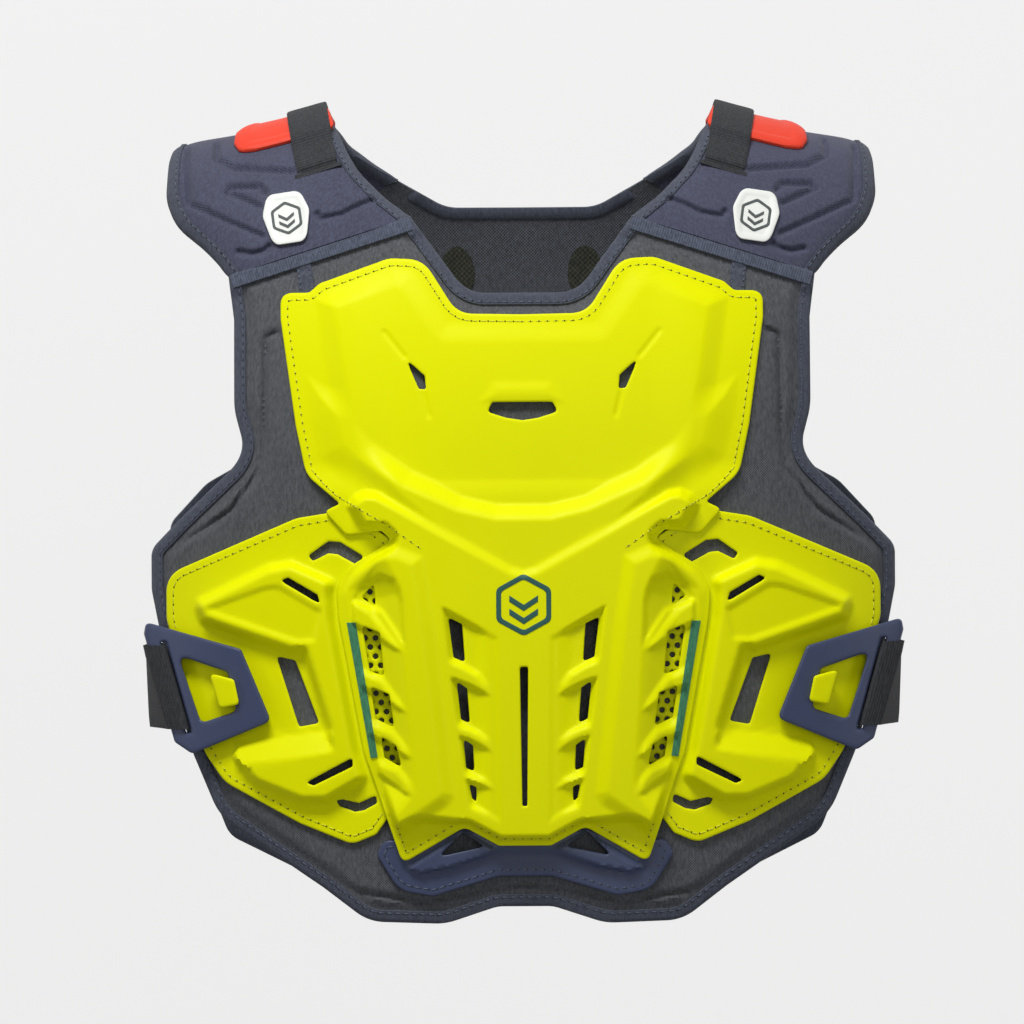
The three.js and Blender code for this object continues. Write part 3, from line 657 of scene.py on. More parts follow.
def sew_both(name, lines, slot, thread, **settings):
    """The same rows on the right side and, mirrored, on the left."""
    for side, way in zip(SIDES, (1, -1)):
        sew(f"{name}_{side}", [line * [way, 1, 1] for line in lines], slot, thread, **settings)


def inset_line(corners, inset, spacing=2.0):
    """Closed line that runs inset inside an outline."""
    loop = outline(corners, spacing)
    inner = loop + inwards(loop) * inset
    keep = depth_inside(inner[:, 0], inner[:, 1], loop) > inset * 0.93
    return inner[keep]


def on_sheet(line, top, lift=0.1, side=FRONT):
    x, z = np.asarray(line, float).T
    return on_form(x, z, top(x, z) + lift, side)


print("sewing tree has", len(sewing.nodes), "nodes")

# %% [markdown]
# ## Long pieces
# Straps, tapes, bindings and pads are one closed cross-section carried along a path. Curve
# bevels would do for a straight strap, but here each section follows the form by itself, so a
# binding can wrap a foam edge and a pad can thin out towards its rim.

# %% Sweeping cross-sections
def swept(name, sections):
    """Closed mesh through rows of points: each row is one closed outline, hidden seam first."""
    sections = np.asarray(sections, float)
    count, size = sections.shape[:2]
    i, j = np.meshgrid(np.arange(count - 1), np.arange(size), indexing="ij")
    here, across = i * size + j, i * size + (j + 1) % size
    faces = np.stack([here, across, across + size, here + size], -1).reshape(-1, 4).tolist()
    faces += [list(range(size))[::-1], [(count - 1) * size + k for k in range(size)]]
    piece = new_piece(name, sections.reshape(-1, 3), faces)
    face_outwards(piece)
    around = np.linalg.norm(np.diff(sections[count // 2], axis=0), axis=1)
    along = np.linalg.norm(np.diff(sections.mean(1), axis=0), axis=1)
    u = np.concatenate([[0], np.cumsum(around)]) / MM
    v = np.concatenate([[0], np.cumsum(along)]) / MM
    write_flat(piece.data, np.stack(np.broadcast_arrays(u[None, :], v[:, None]), -1).reshape(-1, 2))
    return piece


def stretch_of(loop, start, end):
    """Part of a closed line from the point nearest start on to the point nearest end."""
    first, last = (int(np.argmin(np.hypot(*(loop - spot).T))) for spot in (start, end))
    return np.roll(loop, -first, 0)[:(last - first) % len(loop) + 1]


def tape_on(name, line, profile, top, side=FRONT):
    """Tape along an open line of the front view: profile rows are inset from it and height."""
    normal = inwards(line)
    for end, ahead in ((0, line[1] - line[0]), (-1, line[-1] - line[-2])):
        ahead = ahead / np.linalg.norm(ahead)
        normal[end] = (-ahead[1], ahead[0])
    rows = []
    for inset, height in profile:
        x, z = (line + normal * inset).T
        rows.append(on_form(x, z, top(x, z) + height, side))
    return swept(name, np.stack(rows, 1))


def length_of(points):
    return float(np.sum(np.linalg.norm(np.diff(points, axis=0), axis=1)))


# %% [markdown]
# ## The panels
# Each panel is a foam core inside two layers of heathered cloth. The core stops short of the
# edge, so a thin skirt is left for the binding to grip. Foam this stiff keeps its pressed
# shape and its cloth is glued on, so the relief is drawn instead of simulated.

# %% Front and back panels
PANEL = (0, PANEL_HALF, 0, PANEL_DROP)
BACK_PANEL = (0, BACK_HALF, 0, PANEL_DROP)
SEAM_NECK, SEAM_ARM = (0.301, 0.102), (0.785, 0.174)
BACK_SEAM_NECK, BACK_SEAM_ARM = (0.355, 0.043), (0.77, 0.153)
front_corners = mirrored(place([
    (0, 0.201), (0.15, 0.201, 0.11), SEAM_NECK, SEAM_ARM, (0.77, 0.23), (0.77, 0.345, 0.21),
    (0.737, 0.404, 0.12), (0.925, 0.488, 0.16), (1, 0.524, 0.05), (1, 0.575, 0.11),
    (0.973, 0.639), (0.892, 0.78, 0.32), (0.817, 0.864, 0.16), (0.538, 0.954),
    (0.419, 0.997, 0.13), (0.215, 1, 0.16), (0.075, 0.978, 0.11), (0, 0.978)], *PANEL))
back_corners = mirrored(place([
    (0, 0.079), (0.215, 0.079, 0.14), BACK_SEAM_NECK, BACK_SEAM_ARM, (0.78, 0.332, 0.21),
    (0.763, 0.404, 0.065), (0.9, 0.44, 0.11), (1, 0.491, 0.054), (1, 0.614),
    (0.93, 0.793, 0.21), (0.84, 0.9, 0.075), (0.6, 0.957), (0.27, 0.987, 0.21), (0, 0.987)],
    *BACK_PANEL))
SKIRT, SKIRT_WIDTH, CORE_SLOPE, SEAM_WIDTH = -2.6, 6.0, 5.0, 6.0
CREASE_START, CREASE_EASE, SKIRT_CREASE = 6.5, 3.0, 0.6


def grooves(lines, depth, half_width):
    """Relief of pressed lines, the same on both halves."""
    def relief(x, z):
        nearest = np.full(np.shape(x), 1e9)
        for line in lines:
            nearest = np.minimum(nearest, line_distance(np.abs(x), z, line))
        return -depth * (1 - smooth(nearest / half_width))
    return relief


panel_creases = grooves([
    from_left((278, 331), (267, 336), (265, 400), (265, 440), (259, 471), (231, 509),
              (196, 532), (162, 549)),
    from_left((212, 798), (232, 818), (294, 862), (357, 890), (419, 900), (482, 890), (523, 884)),
], depth=2.8, half_width=2.5)
back_creases = grooves([[(0, -70), (0, -380)], [(60, -330), (150, -250)]], 1.2, 3.0)


def seam_ends(neck, arm, half):
    """The seam's two ends in millimetres."""
    return [(u * half, -v * PANEL_DROP) for u, v in (neck, arm)]


def panel_top(corners, creases, seam):
    """Height of a panel: a full core up to the seam, a skirt at the edge, and pressed lines."""
    loop = outline(corners, 4.0)

    def top(x, z):
        depth = depth_inside(x, z, loop)
        core = smooth((depth - SKIRT_WIDTH) / CORE_SLOPE)
        from_seam = line_distance(np.abs(x), z, seam)
        core = np.maximum(core, 1 - smooth((from_seam - SEAM_WIDTH) / SEAM_WIDTH))
        away_from_edge = smooth((depth - CREASE_START) / CREASE_EASE)
        pressed = creases(x, z) * mix(SKIRT_CREASE, 1, core) * away_from_edge
        return mix(SKIRT, 0, core) + pressed
    return top


front_ends = seam_ends(SEAM_NECK, SEAM_ARM, PANEL_HALF)
back_ends = seam_ends(BACK_SEAM_NECK, BACK_SEAM_ARM, BACK_HALF)
front_top = panel_top(front_corners, panel_creases, front_ends)
back_top = panel_top(back_corners, back_creases, back_ends)
BINDING = [(3.5, -2.2), (5.2, -5.2), (4.9, -5.5), (1.2, -5.3), (-0.4, -4.7), (-0.9, -3.2),
           (-0.9, -1.2), (-0.4, 0.4), (1.2, 1.0), (4.9, 1.0), (5.3, 0.4), (5.2, -0.4)]


def bind_panel(name, corners, top, neck, arm, side):
    """Binding round the neck and round the arms and the hem, with its two stitch rows."""
    loop = outline(corners, 2.0)
    runs = {"neck": stretch_of(loop, neck, (-neck[0], neck[1])),
            "hem": stretch_of(loop, (-arm[0], arm[1]), arm)}
    for where, line in runs.items():
        tape = tape_on(f"{name}_binding_{where}", line, BINDING, top, side)
        dress(tape, "woven_tape")
        length_of(on_form(*line.T, 0, side))
        inner = line + inwards(line) * 3.7
        # The webbing's dark finish paints the shade in the needle holes.
        sew(f"{name}_stitches_{where}", [on_sheet(inner[2:-2], top, 1.15, side)],
            "woven_tape", thread_grey, hole=finishes["webbing"])


front_panel = sheet_mesh("padded_front", front_corners, front_top, 0, rim=1.0, spacing=1.8,
                         under=flat_at(-FOAM))
back_panel = sheet_mesh("padded_back", back_corners, back_top, 0, BACK, rim=1.0, spacing=2.2,
                        under=flat_at(-FOAM))
dress(front_panel, "panel_fabric", nodes=["front_panel"])
dress(back_panel, "panel_fabric", nodes=["back_panel"])
bind_panel("front_panel", front_corners, front_top, *front_ends, FRONT)
bind_panel("back_panel", back_corners, back_top, *back_ends, BACK)
print("panels:", len(front_panel.data.polygons), "and", len(back_panel.data.polygons), "faces")

# %% [markdown]
# ## The chest shell
# The yellow shell is one vacuum-formed sheet. Its relief is painted like a contour map: a base
# height, then each area sets its own height over a slope. It could be sculpted, but areas with
# straight edges give the crisp, folded look of moulded plastic.

# %% Frames of the shells, and the tail's outline that the chest shell lies on
CENTRE = (0, 120.5, 60, 301.5)
SIDE = (58, 121, 185.5, 166.5)
TAIL = (0, 74, 335, 43)
LAYER_GAP, WALL = 0.4, 2.2
FLANGE = LAYER_GAP + WALL
TAIL_HEIGHT = 4
tail_corners = mirrored(place([
    (0, 0.233), (0.405, 0, 0.08), (0.811, 0.349), (0.946, 0.349, 0.07), (1, 0.512, 0.054),
    (0.851, 0.93, 0.19), (0.622, 1, 0.135), (0.176, 0.767, 0.11), (0, 0.767)], *TAIL))
centre_corners = mirrored(place([
    (0, 0.095), (0.266, 0.093, 0.12), (0.407, 0.003, 0.13), (0.548, 0, 0.12),
    (0.838, 0.041, 0.05), (0.88, 0.056, 0.033), (1, 0.056, 0.075), (1, 0.1), (0.938, 0.277),
    (0.896, 0.358, 0.13), (0.755, 0.406, 0.01), (0.822, 0.418, 0.02), (0.73, 0.458, 0.04),
    (0.585, 0.451, 0.02), (0.544, 0.466, 0.017), (0.6, 0.481), (0.722, 0.511, 0.08),
    (0.772, 0.551, 0.08), (0.763, 0.597), (0.664, 0.814), (0.506, 1, 0.033),
    (0.249, 0.94, 0.05), (0.108, 0.971, 0.04), (0, 0.971)], *CENTRE))
RIM_AREA = [(0, 0.24), (0.5, 0.24), (0.82, 0.21), (0.9, 0.19), (0.88, 0.265),
            (0.84, 0.33), (0.76, 0.365), (0.63, 0.405), (0.465, 0.464), (0, 0.6)]
PAN_AREA = [(0, 0.106), (0.3, 0.106), (0.45, 0.02), (0.53, 0.013), (0.81, 0.053),
            (0.86, 0.066), (0.81, 0.2), (0.763, 0.29), (0.68, 0.33), (0.5, 0.38),
            (0.274, 0.42), (0.116, 0.435), (0, 0.435)]
APRON_AREA = [(0, -215), *from_left((512, 565), (450, 530), (400, 501), (380, 490), (366, 488),
                                    (354, 494), (346, 505), (362, 530), (400, 680),
                                    (402, 820), (462, 826), (497, 844)), (0, -353)]

POD_AREA = from_left((398, 544), (424, 555), (434, 620), (450, 760), (454, 793), (448, 803),
                     (391, 841), (366, 800), (340, 700), (330, 600), (372, 547))
POD_SIDE_AREA = from_left((310, 560), (384, 550), (404, 590), (409, 700), (416, 790),
                          (392, 818), (310, 832))
SLOT_BED_AREA = from_left((441, 604), (498, 636), (500, 822), (468, 808), (452, 700))
CAP_RECESS = from_left((350, 600), (360, 584), (380, 571), (397, 577), (405, 600), (407, 652),
                       (380, 612))


SIDE_HEIGHT, RIM_HEIGHT, PAN_HEIGHT = 5.5, 12, 4
PAN_HALF, PAN_EASE = 88, 26
BAR_HEIGHT, BED_HEIGHT, BAR_HALF, BED_EASE = 13.6, 10.9, 15.5, 10
APRON_HEIGHT, POD_HEIGHT, POD_SIDE_HEIGHT, CAP_DEPTH = 14.4, 17, 6.5, 2.2


def slot_bed(x, z, level):
    """The bed is deep at the slots and rises to the bar between the two beds."""
    return mix(BAR_HEIGHT, BED_HEIGHT, smooth((np.abs(x) - BAR_HALF) / BED_EASE))


def rim_height(x, z, level):
    """The rim under the pan stands highest in the middle and is flush with it at the sides."""
    return mix(SIDE_HEIGHT, RIM_HEIGHT, smooth((PAN_HALF - np.abs(x)) / PAN_EASE))


def pan_height(x, z, level):
    """The pan is a little deeper in the middle than at the sides."""
    return mix(SIDE_HEIGHT, PAN_HEIGHT, smooth((PAN_HALF - np.abs(x)) / PAN_EASE))


def lowered(x, z, level):
    return level - CAP_DEPTH


def both_sides(height, slope, right):
    """One painted area that crosses the middle plane, or two that mirror each other."""
    if min(x for x, *_ in right) == 0:
        return [(height, slope, mirrored(right))]
    return [(height, slope, right), (height, slope, flipped(right))]


WAIST_DROP, WAIST_EASE, TAIL_EASE = 161.5, 18, 12


def centre_base(x, z):
    """The rim's height: on the panel, then over the side shells, then over the hem shell."""
    low = mix(FLANGE, 2 * FLANGE, smooth((-z - WAIST_DROP) / WAIST_EASE))
    over_tail = smooth(depth_inside(x, z, tail_corners) / TAIL_EASE + 2)
    return mix(low, TAIL_HEIGHT + FLANGE, over_tail)


INNER_SLATS = [
    from_left((440, 652), (452, 656), (464, 661), (480, 670), (489, 682), (492, 693),
              (489, 696), (468, 685), (440, 674)),
    from_left((448, 716), (460, 720), (470, 723), (480, 728), (490, 736), (493, 748),
              (491, 752), (471, 741), (448, 732)),
    from_left((454, 764), (465, 768), (474, 770), (485, 774), (493, 783), (495, 788),
              (494, 790), (475, 783), (454, 775)),
    from_left((466, 799), (476, 802), (490, 809), (498, 816), (499, 818),
              (496, 820), (475, 812), (466, 808))]
OUTER_SLATS = [
    from_left((352, 594), (373, 606), (410, 656), (394, 648), (352, 622)),
    from_left((360, 664), (384, 674), (416, 718), (398, 708), (360, 685)),
    from_left((368, 715), (394, 726), (424, 763), (404, 755), (368, 733)),
    from_left((376, 754), (400, 764), (430, 800), (410, 796), (376, 772))]


def slats(rise, limit, width, tables, low_corners):
    """Slats on both halves: each rises from its top edge and ends in a step at its low corners."""
    areas = []
    for table in tables:
        value = louver(rise, limit, width, table[:len(table) - low_corners])
        areas += [(value, 1.6, table), (value, 1.6, flipped(table))]
    return areas


centre_painted = painted(centre_base, [
    *both_sides(rim_height, 14, place(RIM_AREA, *CENTRE)),
    *both_sides(pan_height, 10.5, place(PAN_AREA, *CENTRE)),
    *both_sides(APRON_HEIGHT, 5, APRON_AREA), *both_sides(POD_HEIGHT, 7, POD_AREA),
    *both_sides(POD_SIDE_HEIGHT, 17, POD_SIDE_AREA), *both_sides(slot_bed, 2.6, SLOT_BED_AREA),
    *both_sides(lowered, 3, CAP_RECESS),
    *slats(3.4, APRON_HEIGHT, 3.5, INNER_SLATS, low_corners=3),
    *slats(2.6, POD_HEIGHT, 4, OUTER_SLATS, low_corners=2)])
centre_edge = outline(centre_corners, 3.0)
chest_creases = grooves([
    from_left((386, 332), (406, 357)), from_left((424, 392), (430, 416)),
], depth=0.7, half_width=1.9)
HOOD = [(-24, -134), (-15, -121), (15, -121), (24, -134)]
HOOD_RISE, HOOD_EASE = 0.8, 6
EDGE_FLAT, EDGE_EASE = 1, 4.5


def centre_top(x, z):
    """Height of the shell: its painted relief, which ends at a flat rim."""
    base = centre_base(x, z)
    height = np.maximum(base, centre_painted(x, z))
    off_edge = smooth((depth_inside(x, z, centre_edge) - EDGE_FLAT) / EDGE_EASE)
    hood = HOOD_RISE * smooth(depth_inside(x, z, HOOD) / HOOD_EASE)
    return mix(base, height, off_edge) + chest_creases(x, z) + hood


CENTRE_VENTS = [
    [(0.481, 0.167), (0.402, 0.196), (0.397, 0.219), (0.427, 0.217)],
    [(0.311, 0.594), (0.254, 0.605), (0.243, 0.668), (0.29, 0.66)],
    [(0.278, 0.699), (0.235, 0.711), (0.224, 0.769), (0.261, 0.762)],
    [(0.251, 0.794), (0.212, 0.805), (0.207, 0.848), (0.241, 0.842)],
    [(0.229, 0.868), (0.199, 0.874), (0.199, 0.899), (0.217, 0.892)],
    [(0.668, 0.561), (0.618, 0.537), (0.61, 0.577)],
    [(0.666, 0.607), (0.594, 0.619), (0.577, 0.69), (0.636, 0.682)],
    [(0.632, 0.708), (0.556, 0.72), (0.536, 0.775), (0.612, 0.761)],
    [(0.591, 0.789), (0.528, 0.805), (0.506, 0.841), (0.577, 0.825)]]
MIDDLE_VENTS = [
    [(0, 0.24), (0.124, 0.24), (0.145, 0.256), (0.066, 0.266), (0, 0.27)],
    [(0, 0.676), (0.017, 0.676), (0.01, 0.905), (0, 0.905)]]


def rounded(corners, radius):
    """Corners with one radius, less where a slot is narrow and none on the middle line."""
    return [(x, z, min(radius, 0.9 * x)) for x, z in corners]


right_vents = [rounded(place(vent, *CENTRE), 1.2) for vent in CENTRE_VENTS]
centre_vents = [*right_vents, *[flipped(vent) for vent in right_vents],
                *[mirrored(rounded(place(vent, *CENTRE), 1.8)) for vent in MIDDLE_VENTS]]
centre_shell = sheet_mesh("chest_moulding", centre_corners, centre_top, WALL, rim=0.9,
                          spacing=1.2, holes=centre_vents)
dress(centre_shell, "shell_plastic", nodes=["centre_shell"])


def runs_of(line, keep, shortest=6):
    """Parts of a line where keep holds."""
    parts, part = [], []
    for point, wanted in zip(line, keep):
        if wanted:
            part.append(point)
        elif part:
            parts.append(part)
            part = []
    return [np.array(p) for p in [*parts, part] if len(p) >= shortest]


centre_rim = inset_line(centre_corners, 3.6)
off_waist = (centre_rim[:, 1] > -163) | (centre_rim[:, 1] < -342)
diagonal = evenly(np.array(from_left(
    (314, 470), (325, 483), (338, 495), (356, 505.5), (387.5, 524), (419, 546))), 2.0, closed=False)
centre_rows = [*runs_of(centre_rim, off_waist), diagonal, diagonal * [-1, 1]]
sew("centre_stitches", [on_sheet(line, centre_top) for line in centre_rows],
    "shell_plastic", thread_yellow)
print("centre shell:", len(centre_shell.data.polygons), "faces,", len(centre_rows), "stitch rows")

# %% [markdown]
# ## The side shells
# Each side shell runs under the chest shell, so its hidden flange must stay flat there. A
# cover function presses its relief down near whatever lies on it. Its flange shows through
# the chest shell's windows, and it is pierced by a hexagonal grid of small holes.

# %% Side shells with their hooks
RING = (126, 64.5, 241, 66)
ELASTIC, HOOK_WALL, RING_WALL = 1.5, 2.4, 4.0
RING_UNDER = FLANGE + ELASTIC + 2 * LAYER_GAP
RING_FACE = RING_UNDER + RING_WALL
side_corners = place([
    (0.248, 0, 0.1), (0.066, 0.087, 0.066), (0, 0.237, 0.05), (0, 0.838, 0.066),
    (0.132, 0.97, 0.033), (0.231, 1, 0.083), (0.446, 0.937), (0.76, 0.814, 0.165),
    (0.843, 0.724, 0.165), (1, 0.327, 0.13), (1, 0.192, 0.116), (0.455, 0.024, 0.165)], *SIDE)
SIDE_VENTS = [
    [(0.405, 0.135), (0.322, 0.093), (0.273, 0.096), (0.178, 0.138),
     (0.202, 0.165), (0.285, 0.132), (0.322, 0.129), (0.388, 0.153)],
    [(0.521, 0.21), (0.488, 0.201), (0.368, 0.252), (0.355, 0.282)],
    [(0.54, 0.436), (0.462, 0.449), (0.365, 0.637), (0.448, 0.648)],
    [(0.421, 0.814), (0.388, 0.823), (0.227, 0.766), (0.227, 0.739)],
    [(0.298, 0.868), (0.281, 0.886), (0.219, 0.902), (0.182, 0.898), (0.128, 0.877),
     (0.132, 0.853), (0.202, 0.876), (0.269, 0.865)]]
ring_corners = place([(0.984, 0, 0.047), (0.233, 0.205, 0.047), (0, 0.75, 0.06),
                      (0.62, 1, 0.06), (0.76, 0.91, 0.047), (1, 0.09, 0.03)], *RING)
ring_window = place([(0.729, 0.25, 0.05), (0.341, 0.379, 0.05), (0.271, 0.674, 0.05),
                     (0.55, 0.765, 0.05)], *RING)
BLOCK = from_left(
    (193, 606), (195, 597), (268, 562), (292, 558), (342, 580), (345, 620), (358, 700),
    (373, 776), (326, 803), (300, 803), (253, 784), (245, 776), (236, 752), (242, 737),
    (324, 727), (301, 652), (292, 654), (199, 622))
ARROW_FACE = from_left((206, 605), (266, 584), (279, 583), (323, 609), (316, 640), (297, 641),
                       (206, 610))
LOWER_RAMP = from_left((232, 756), (238, 735), (325, 724), (336, 748), (246, 768))
RAMP_TOP = from_left((240, 738), (325, 727))


BLOCK_HEIGHT, ARROW_HEIGHT, RAMP_SLOPE, RAMP_REACH = 9.4, 8.2, 0.55, 12


def ramp_down(x, z, level):
    """A ramp that starts at the flange and climbs with the distance from its upper line."""
    return FLANGE + RAMP_SLOPE * np.minimum(RAMP_REACH, line_distance(x, z, RAMP_TOP))


side_painted = painted(flat_at(FLANGE), [
    (BLOCK_HEIGHT, 4.6, BLOCK), (ARROW_HEIGHT, 1.8, ARROW_FACE), (ramp_down, 1.0, LOWER_RAMP)])
centre_loop, ring_loop = outline(centre_corners, 4.0), outline(ring_corners, 4.0)


def side_top(x, z):
    """Painted relief, pressed down to the flange under the chest shell and the ring."""
    clear = np.ones(np.shape(x))
    for cover in (centre_loop, ring_loop):
        clear = np.minimum(clear, smooth((-depth_inside(x, z, cover) - 1) / 6))
    return mix(FLANGE, side_painted(x, z), clear)


side_vents = [rounded(place(vent, *SIDE), 1.5) for vent in SIDE_VENTS]


def round_hole(x, z, radius):
    return [(x + radius * math.cos(a), z + radius * math.sin(a)) for a in np.linspace(0, 5.5, 8)]


def perforations(region, pitch, radius):
    """Round holes on a hexagonal grid inside a region."""
    region = np.array(region)
    low, high = region.min(0), region.max(0)
    holes = []
    for row, z in enumerate(np.arange(low[1], high[1], pitch * TRIANGLE_HEIGHT)):
        for x in np.arange(low[0] + row % 2 * pitch / 2, high[0], pitch):
            if depth_inside(np.array([x]), np.array([z]), region)[0] > radius:
                holes.append(round_hole(x, z, radius))
    return holes


flange_region = [(60.5, -218), (84, -218), (82, -250), (79, -285), (75, -318), (60.5, -318)]
flange_holes = perforations(flange_region, pitch=5.3, radius=1.5)


def hook_corners(side_in, side_out, neck=7.0, inset=0.75):
    """The hook's outline, between the slanted sides of the ring's window."""
    out_top, in_top, in_foot, out_foot = [np.array(corner[:2]) for corner in ring_window]
    width = np.hypot(*(out_top - in_top))
    near, far = [(side + inset) * neck / width for side in (side_in, side_out)]
    tops, feet = [[mix(a, b, share) for share in (near, far)]
                  for a, b in ((in_top, out_top), (in_foot, out_foot))]
    rows = [mix(tops[0], feet[0], 0.15), mix(tops[0], feet[0], 0.85),
            mix(tops[1], feet[1], 0.85), mix(tops[1], feet[1], 0.15)]
    return [(*row, 2.2) for row in rows]


hook_height = RING_FACE + LAYER_GAP + HOOK_WALL
hook_neck = maker(hook_corners(-0.5, 0.5), flat_at(hook_height - 1), hook_height - 2.6, rim=0.7,
                  spacing=1.5)
hook_head = maker(hook_corners(-1.2, 0.8), flat_at(hook_height), HOOK_WALL, rim=1.1, spacing=1.5)
pair(maker(side_corners, side_top, WALL, rim=0.9, spacing=1.6, holes=[*side_vents, *flange_holes]),
     "side_moulding", "shell_plastic", ["side_shell"])
pair(hook_neck, "hook_neck", "shell_plastic")
pair(hook_head, "hook_head", "shell_plastic")
side_rim = inset_line(side_corners, 3.6)
covered = [depth_inside(*side_rim.T, cover) for cover in (centre_loop, ring_loop)]
side_rows = runs_of(side_rim, np.max(covered, 0) < -1)
sew_both("side_stitches", [on_sheet(line, side_top) for line in side_rows], "shell_plastic",
         thread_yellow)
print("flange holes on each side:", len(flange_holes))

# %% [markdown]
# ## The rings
# A ring hooks over each side shell and takes an elastic strap from the back. It is a thick flat
# sheet with two holes: a window for the hook, and a slot for the strap.

# %% Rings
slot_top, slot_foot = [np.array(p) for p in place([(0.845, 0.15), (0.645, 0.84)], *RING)]
SLOT = ELASTIC + 1.4
slot_hole = [(end[0] + way * SLOT / 2, end[1], 1)
             for end, way in ((slot_foot, -1), (slot_foot, 1), (slot_top, 1), (slot_top, -1))]
make_ring = maker(ring_corners, flat_at(RING_FACE), RING_WALL, rim=1.2, spacing=1.5,
                  holes=[ring_window, slot_hole])
pair(make_ring, "hooked_ring", "navy_plastic", ["strap_ring"])
print("ring spans", RING[1], "by", RING[3], "mm")

# %% [markdown]
# ## The side straps
# Each strap starts at the back panel, bends round the side and turns back through the ring's
# slot. Elastic under tension needs no cloth simulation: a few points give its way, and cutting
# their corners bends it softly. The path is drawn nine times, each at its own height.

# %% Side straps
def reach_at(corners, z):
    """Furthest reach of an outline to the right at a height."""
    reach = -1e9
    points = [corner[:2] for corner in corners]
    for (ax, az), (bx, bz) in zip(points, points[1:] + points[:1]):
        share = (z - az) / (bz - az) if az != bz else -1
        if 0 <= share <= 1:
            reach = max(reach, ax + share * (bx - ax))
    return reach


def strap_route(share, half=ELASTIC / 2, near=1.05):
    """The strap's path at a share of its width, as points in millimetres."""
    x, z = mix(slot_foot, slot_top, mix(0.04, 0.96, share))
    right_half = [corner for corner in back_corners if corner[0] >= 0]
    rail, back = reach_at(ring_corners, z), reach_at(right_half, z)
    behind, over = FLANGE + LAYER_GAP + half, RING_FACE + LAYER_GAP + half

    def front(at, lift):
        return (at, float(form_y(at, z, lift)), z)

    def on_back(inward):
        return (back - inward, float(form_y(back - inward, z, LAYER_GAP + half, BACK)), z)

    rail_y, back_y = front(rail, RING_FACE)[1], float(form_y(back, z, 0, BACK))
    bulge = PANEL_HALF + 6 - half
    outside = mix(rail, bulge, 0.6)
    return [
        front(mix(x, rail, 0.8), behind), front(x + near, behind), front(x, RING_UNDER),
        front(x, RING_FACE), front(x + SLOT / 2, over), front(rail - 2 * near, over),
        (rail + near / 2, rail_y - near, z), (rail + near + 0.3, rail_y + near, z),
        (rail + 2 * near, rail_y + 8, z), (outside, mix(rail_y, back_y, 0.3), z),
        (bulge, mix(rail_y, back_y, 0.5), z), (mix(bulge, back, 0.6), mix(rail_y, back_y, 0.85), z),
        (back + near + 0.3, back_y - 2 * near, z), (back + near, back_y + near, z),
        on_back(2 * near), on_back(16), on_back(32)]


def rounded_path(points, times=2):
    """Cuts each corner of an open path, a few times over."""
    points = np.array(points)
    for _ in range(times):
        cut = np.stack([mix(points[:-1], points[1:], 0.25), mix(points[:-1], points[1:], 0.75)], 1)
        points = np.concatenate([points[:1], cut.reshape(-1, 3), points[-1:]])
    return points


def make_side_strap(name, half=ELASTIC / 2):
    shares = np.linspace(0, 1, 9)
    paths = np.stack([rounded_path(strap_route(share)) for share in shares], 1)
    along = np.gradient(paths, axis=0)
    outward = np.stack([along[..., 1], -along[..., 0], 0 * along[..., 0]], -1)
    outward /= np.linalg.norm(outward, axis=-1, keepdims=True)
    thick = half * (1 - 0.45 * np.abs(2 * shares - 1) ** 8)[None, :, None]
    outer, inner = paths + outward * thick, paths - outward * thick
    return swept(name, np.concatenate([inner, outer[:, ::-1]], 1) * MM)


strap_length = length_of(rounded_path(strap_route(0.5))) * MM
for strap, side in zip(pair(make_side_strap, "elastic_strap", "webbing", ["side_strap"]), SIDES):
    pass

# %% [markdown]
# ## The shoulders
# A pad bridges each shoulder, from the front seam to the back seam. A place on it is a way,
# 0 to 2 over the crest, and a place across it. Grooves are still drawn in the front view,
# because that is how the photograph shows them.

# %% Places on the shoulder pads
PAD_NECK_X, PAD_REACH_X, PAD_RISE, PAD_EDGE_DROP = 98.0, 178.0, 2.0, 4.0
STRAP_WAYS, TAB_WAYS, SLOT_WAYS = (0.35, 1.65), (0.6, 1.49), (0.338, 0.362)
STRAP_THICK, STRAP_HALF, SLOT_HALF, TAB_SCALE = 1.6, 9.6, 11.5, 50
pad_rows = np.array([
    (0, 0, 0), (0.11, 0.31, 0.28), (0.29, 0.63, 0.84), (0.44, 0.77, 1), (0.72, 0.93, 0.97),
    (1, 1, 0.9), (1.28, 0.92, 0.97), (1.56, 0.72, 0.95), (1.8, 0.36, 0.62), (2, 0, 0)])
tab_rows = np.array([
    (0.6, 0.3, 0.84), (0.61, 0.06, 0.94), (0.63, 0.03, 0.985), (0.7, 0.02, 1), (0.8, 0.02, 0.96),
    (1, 0.03, 0.8), (1.2, 0.02, 0.96), (1.34, 0.02, 1), (1.45, 0.08, 0.98), (1.49, 0.38, 0.8)])


def seam_z(x, ends):
    (neck_x, neck_z), (arm_x, arm_z) = ends
    return mix(neck_z, arm_z, (np.abs(x) - neck_x) / (arm_x - neck_x))


def over_shoulder(x, way, lift):
    """Points in metres over the shoulder: way 0 is the front seam, 1 the crest, 2 the back."""
    x, way, lift = np.broadcast_arrays(np.asarray(x, float), way, lift)
    front = way < 1
    depth = np.where(front, CHEST_DEPTH, BACK_DEPTH) + lift
    top = crest_height(x) + lift + CHEST_DROP
    seam = np.where(front, seam_z(x, front_ends), seam_z(x, back_ends))
    share = np.clip((seam + 0.3 + CHEST_DROP) / top, 0, 1)
    from_seam = np.where(front, way, 2 - way)
    angle = mix(np.arcsin(share ** (FORM_POWER / 2)), math.pi / 2, from_seam)
    up = np.clip(np.sin(angle), 0, 1) ** (2 / FORM_POWER)
    y = np.where(front, FRONT, BACK) * depth * round_off(x / (FORM_HALF + lift)) * round_off(up)
    return np.stack([x, y, top * up - CHEST_DROP], -1) * MM


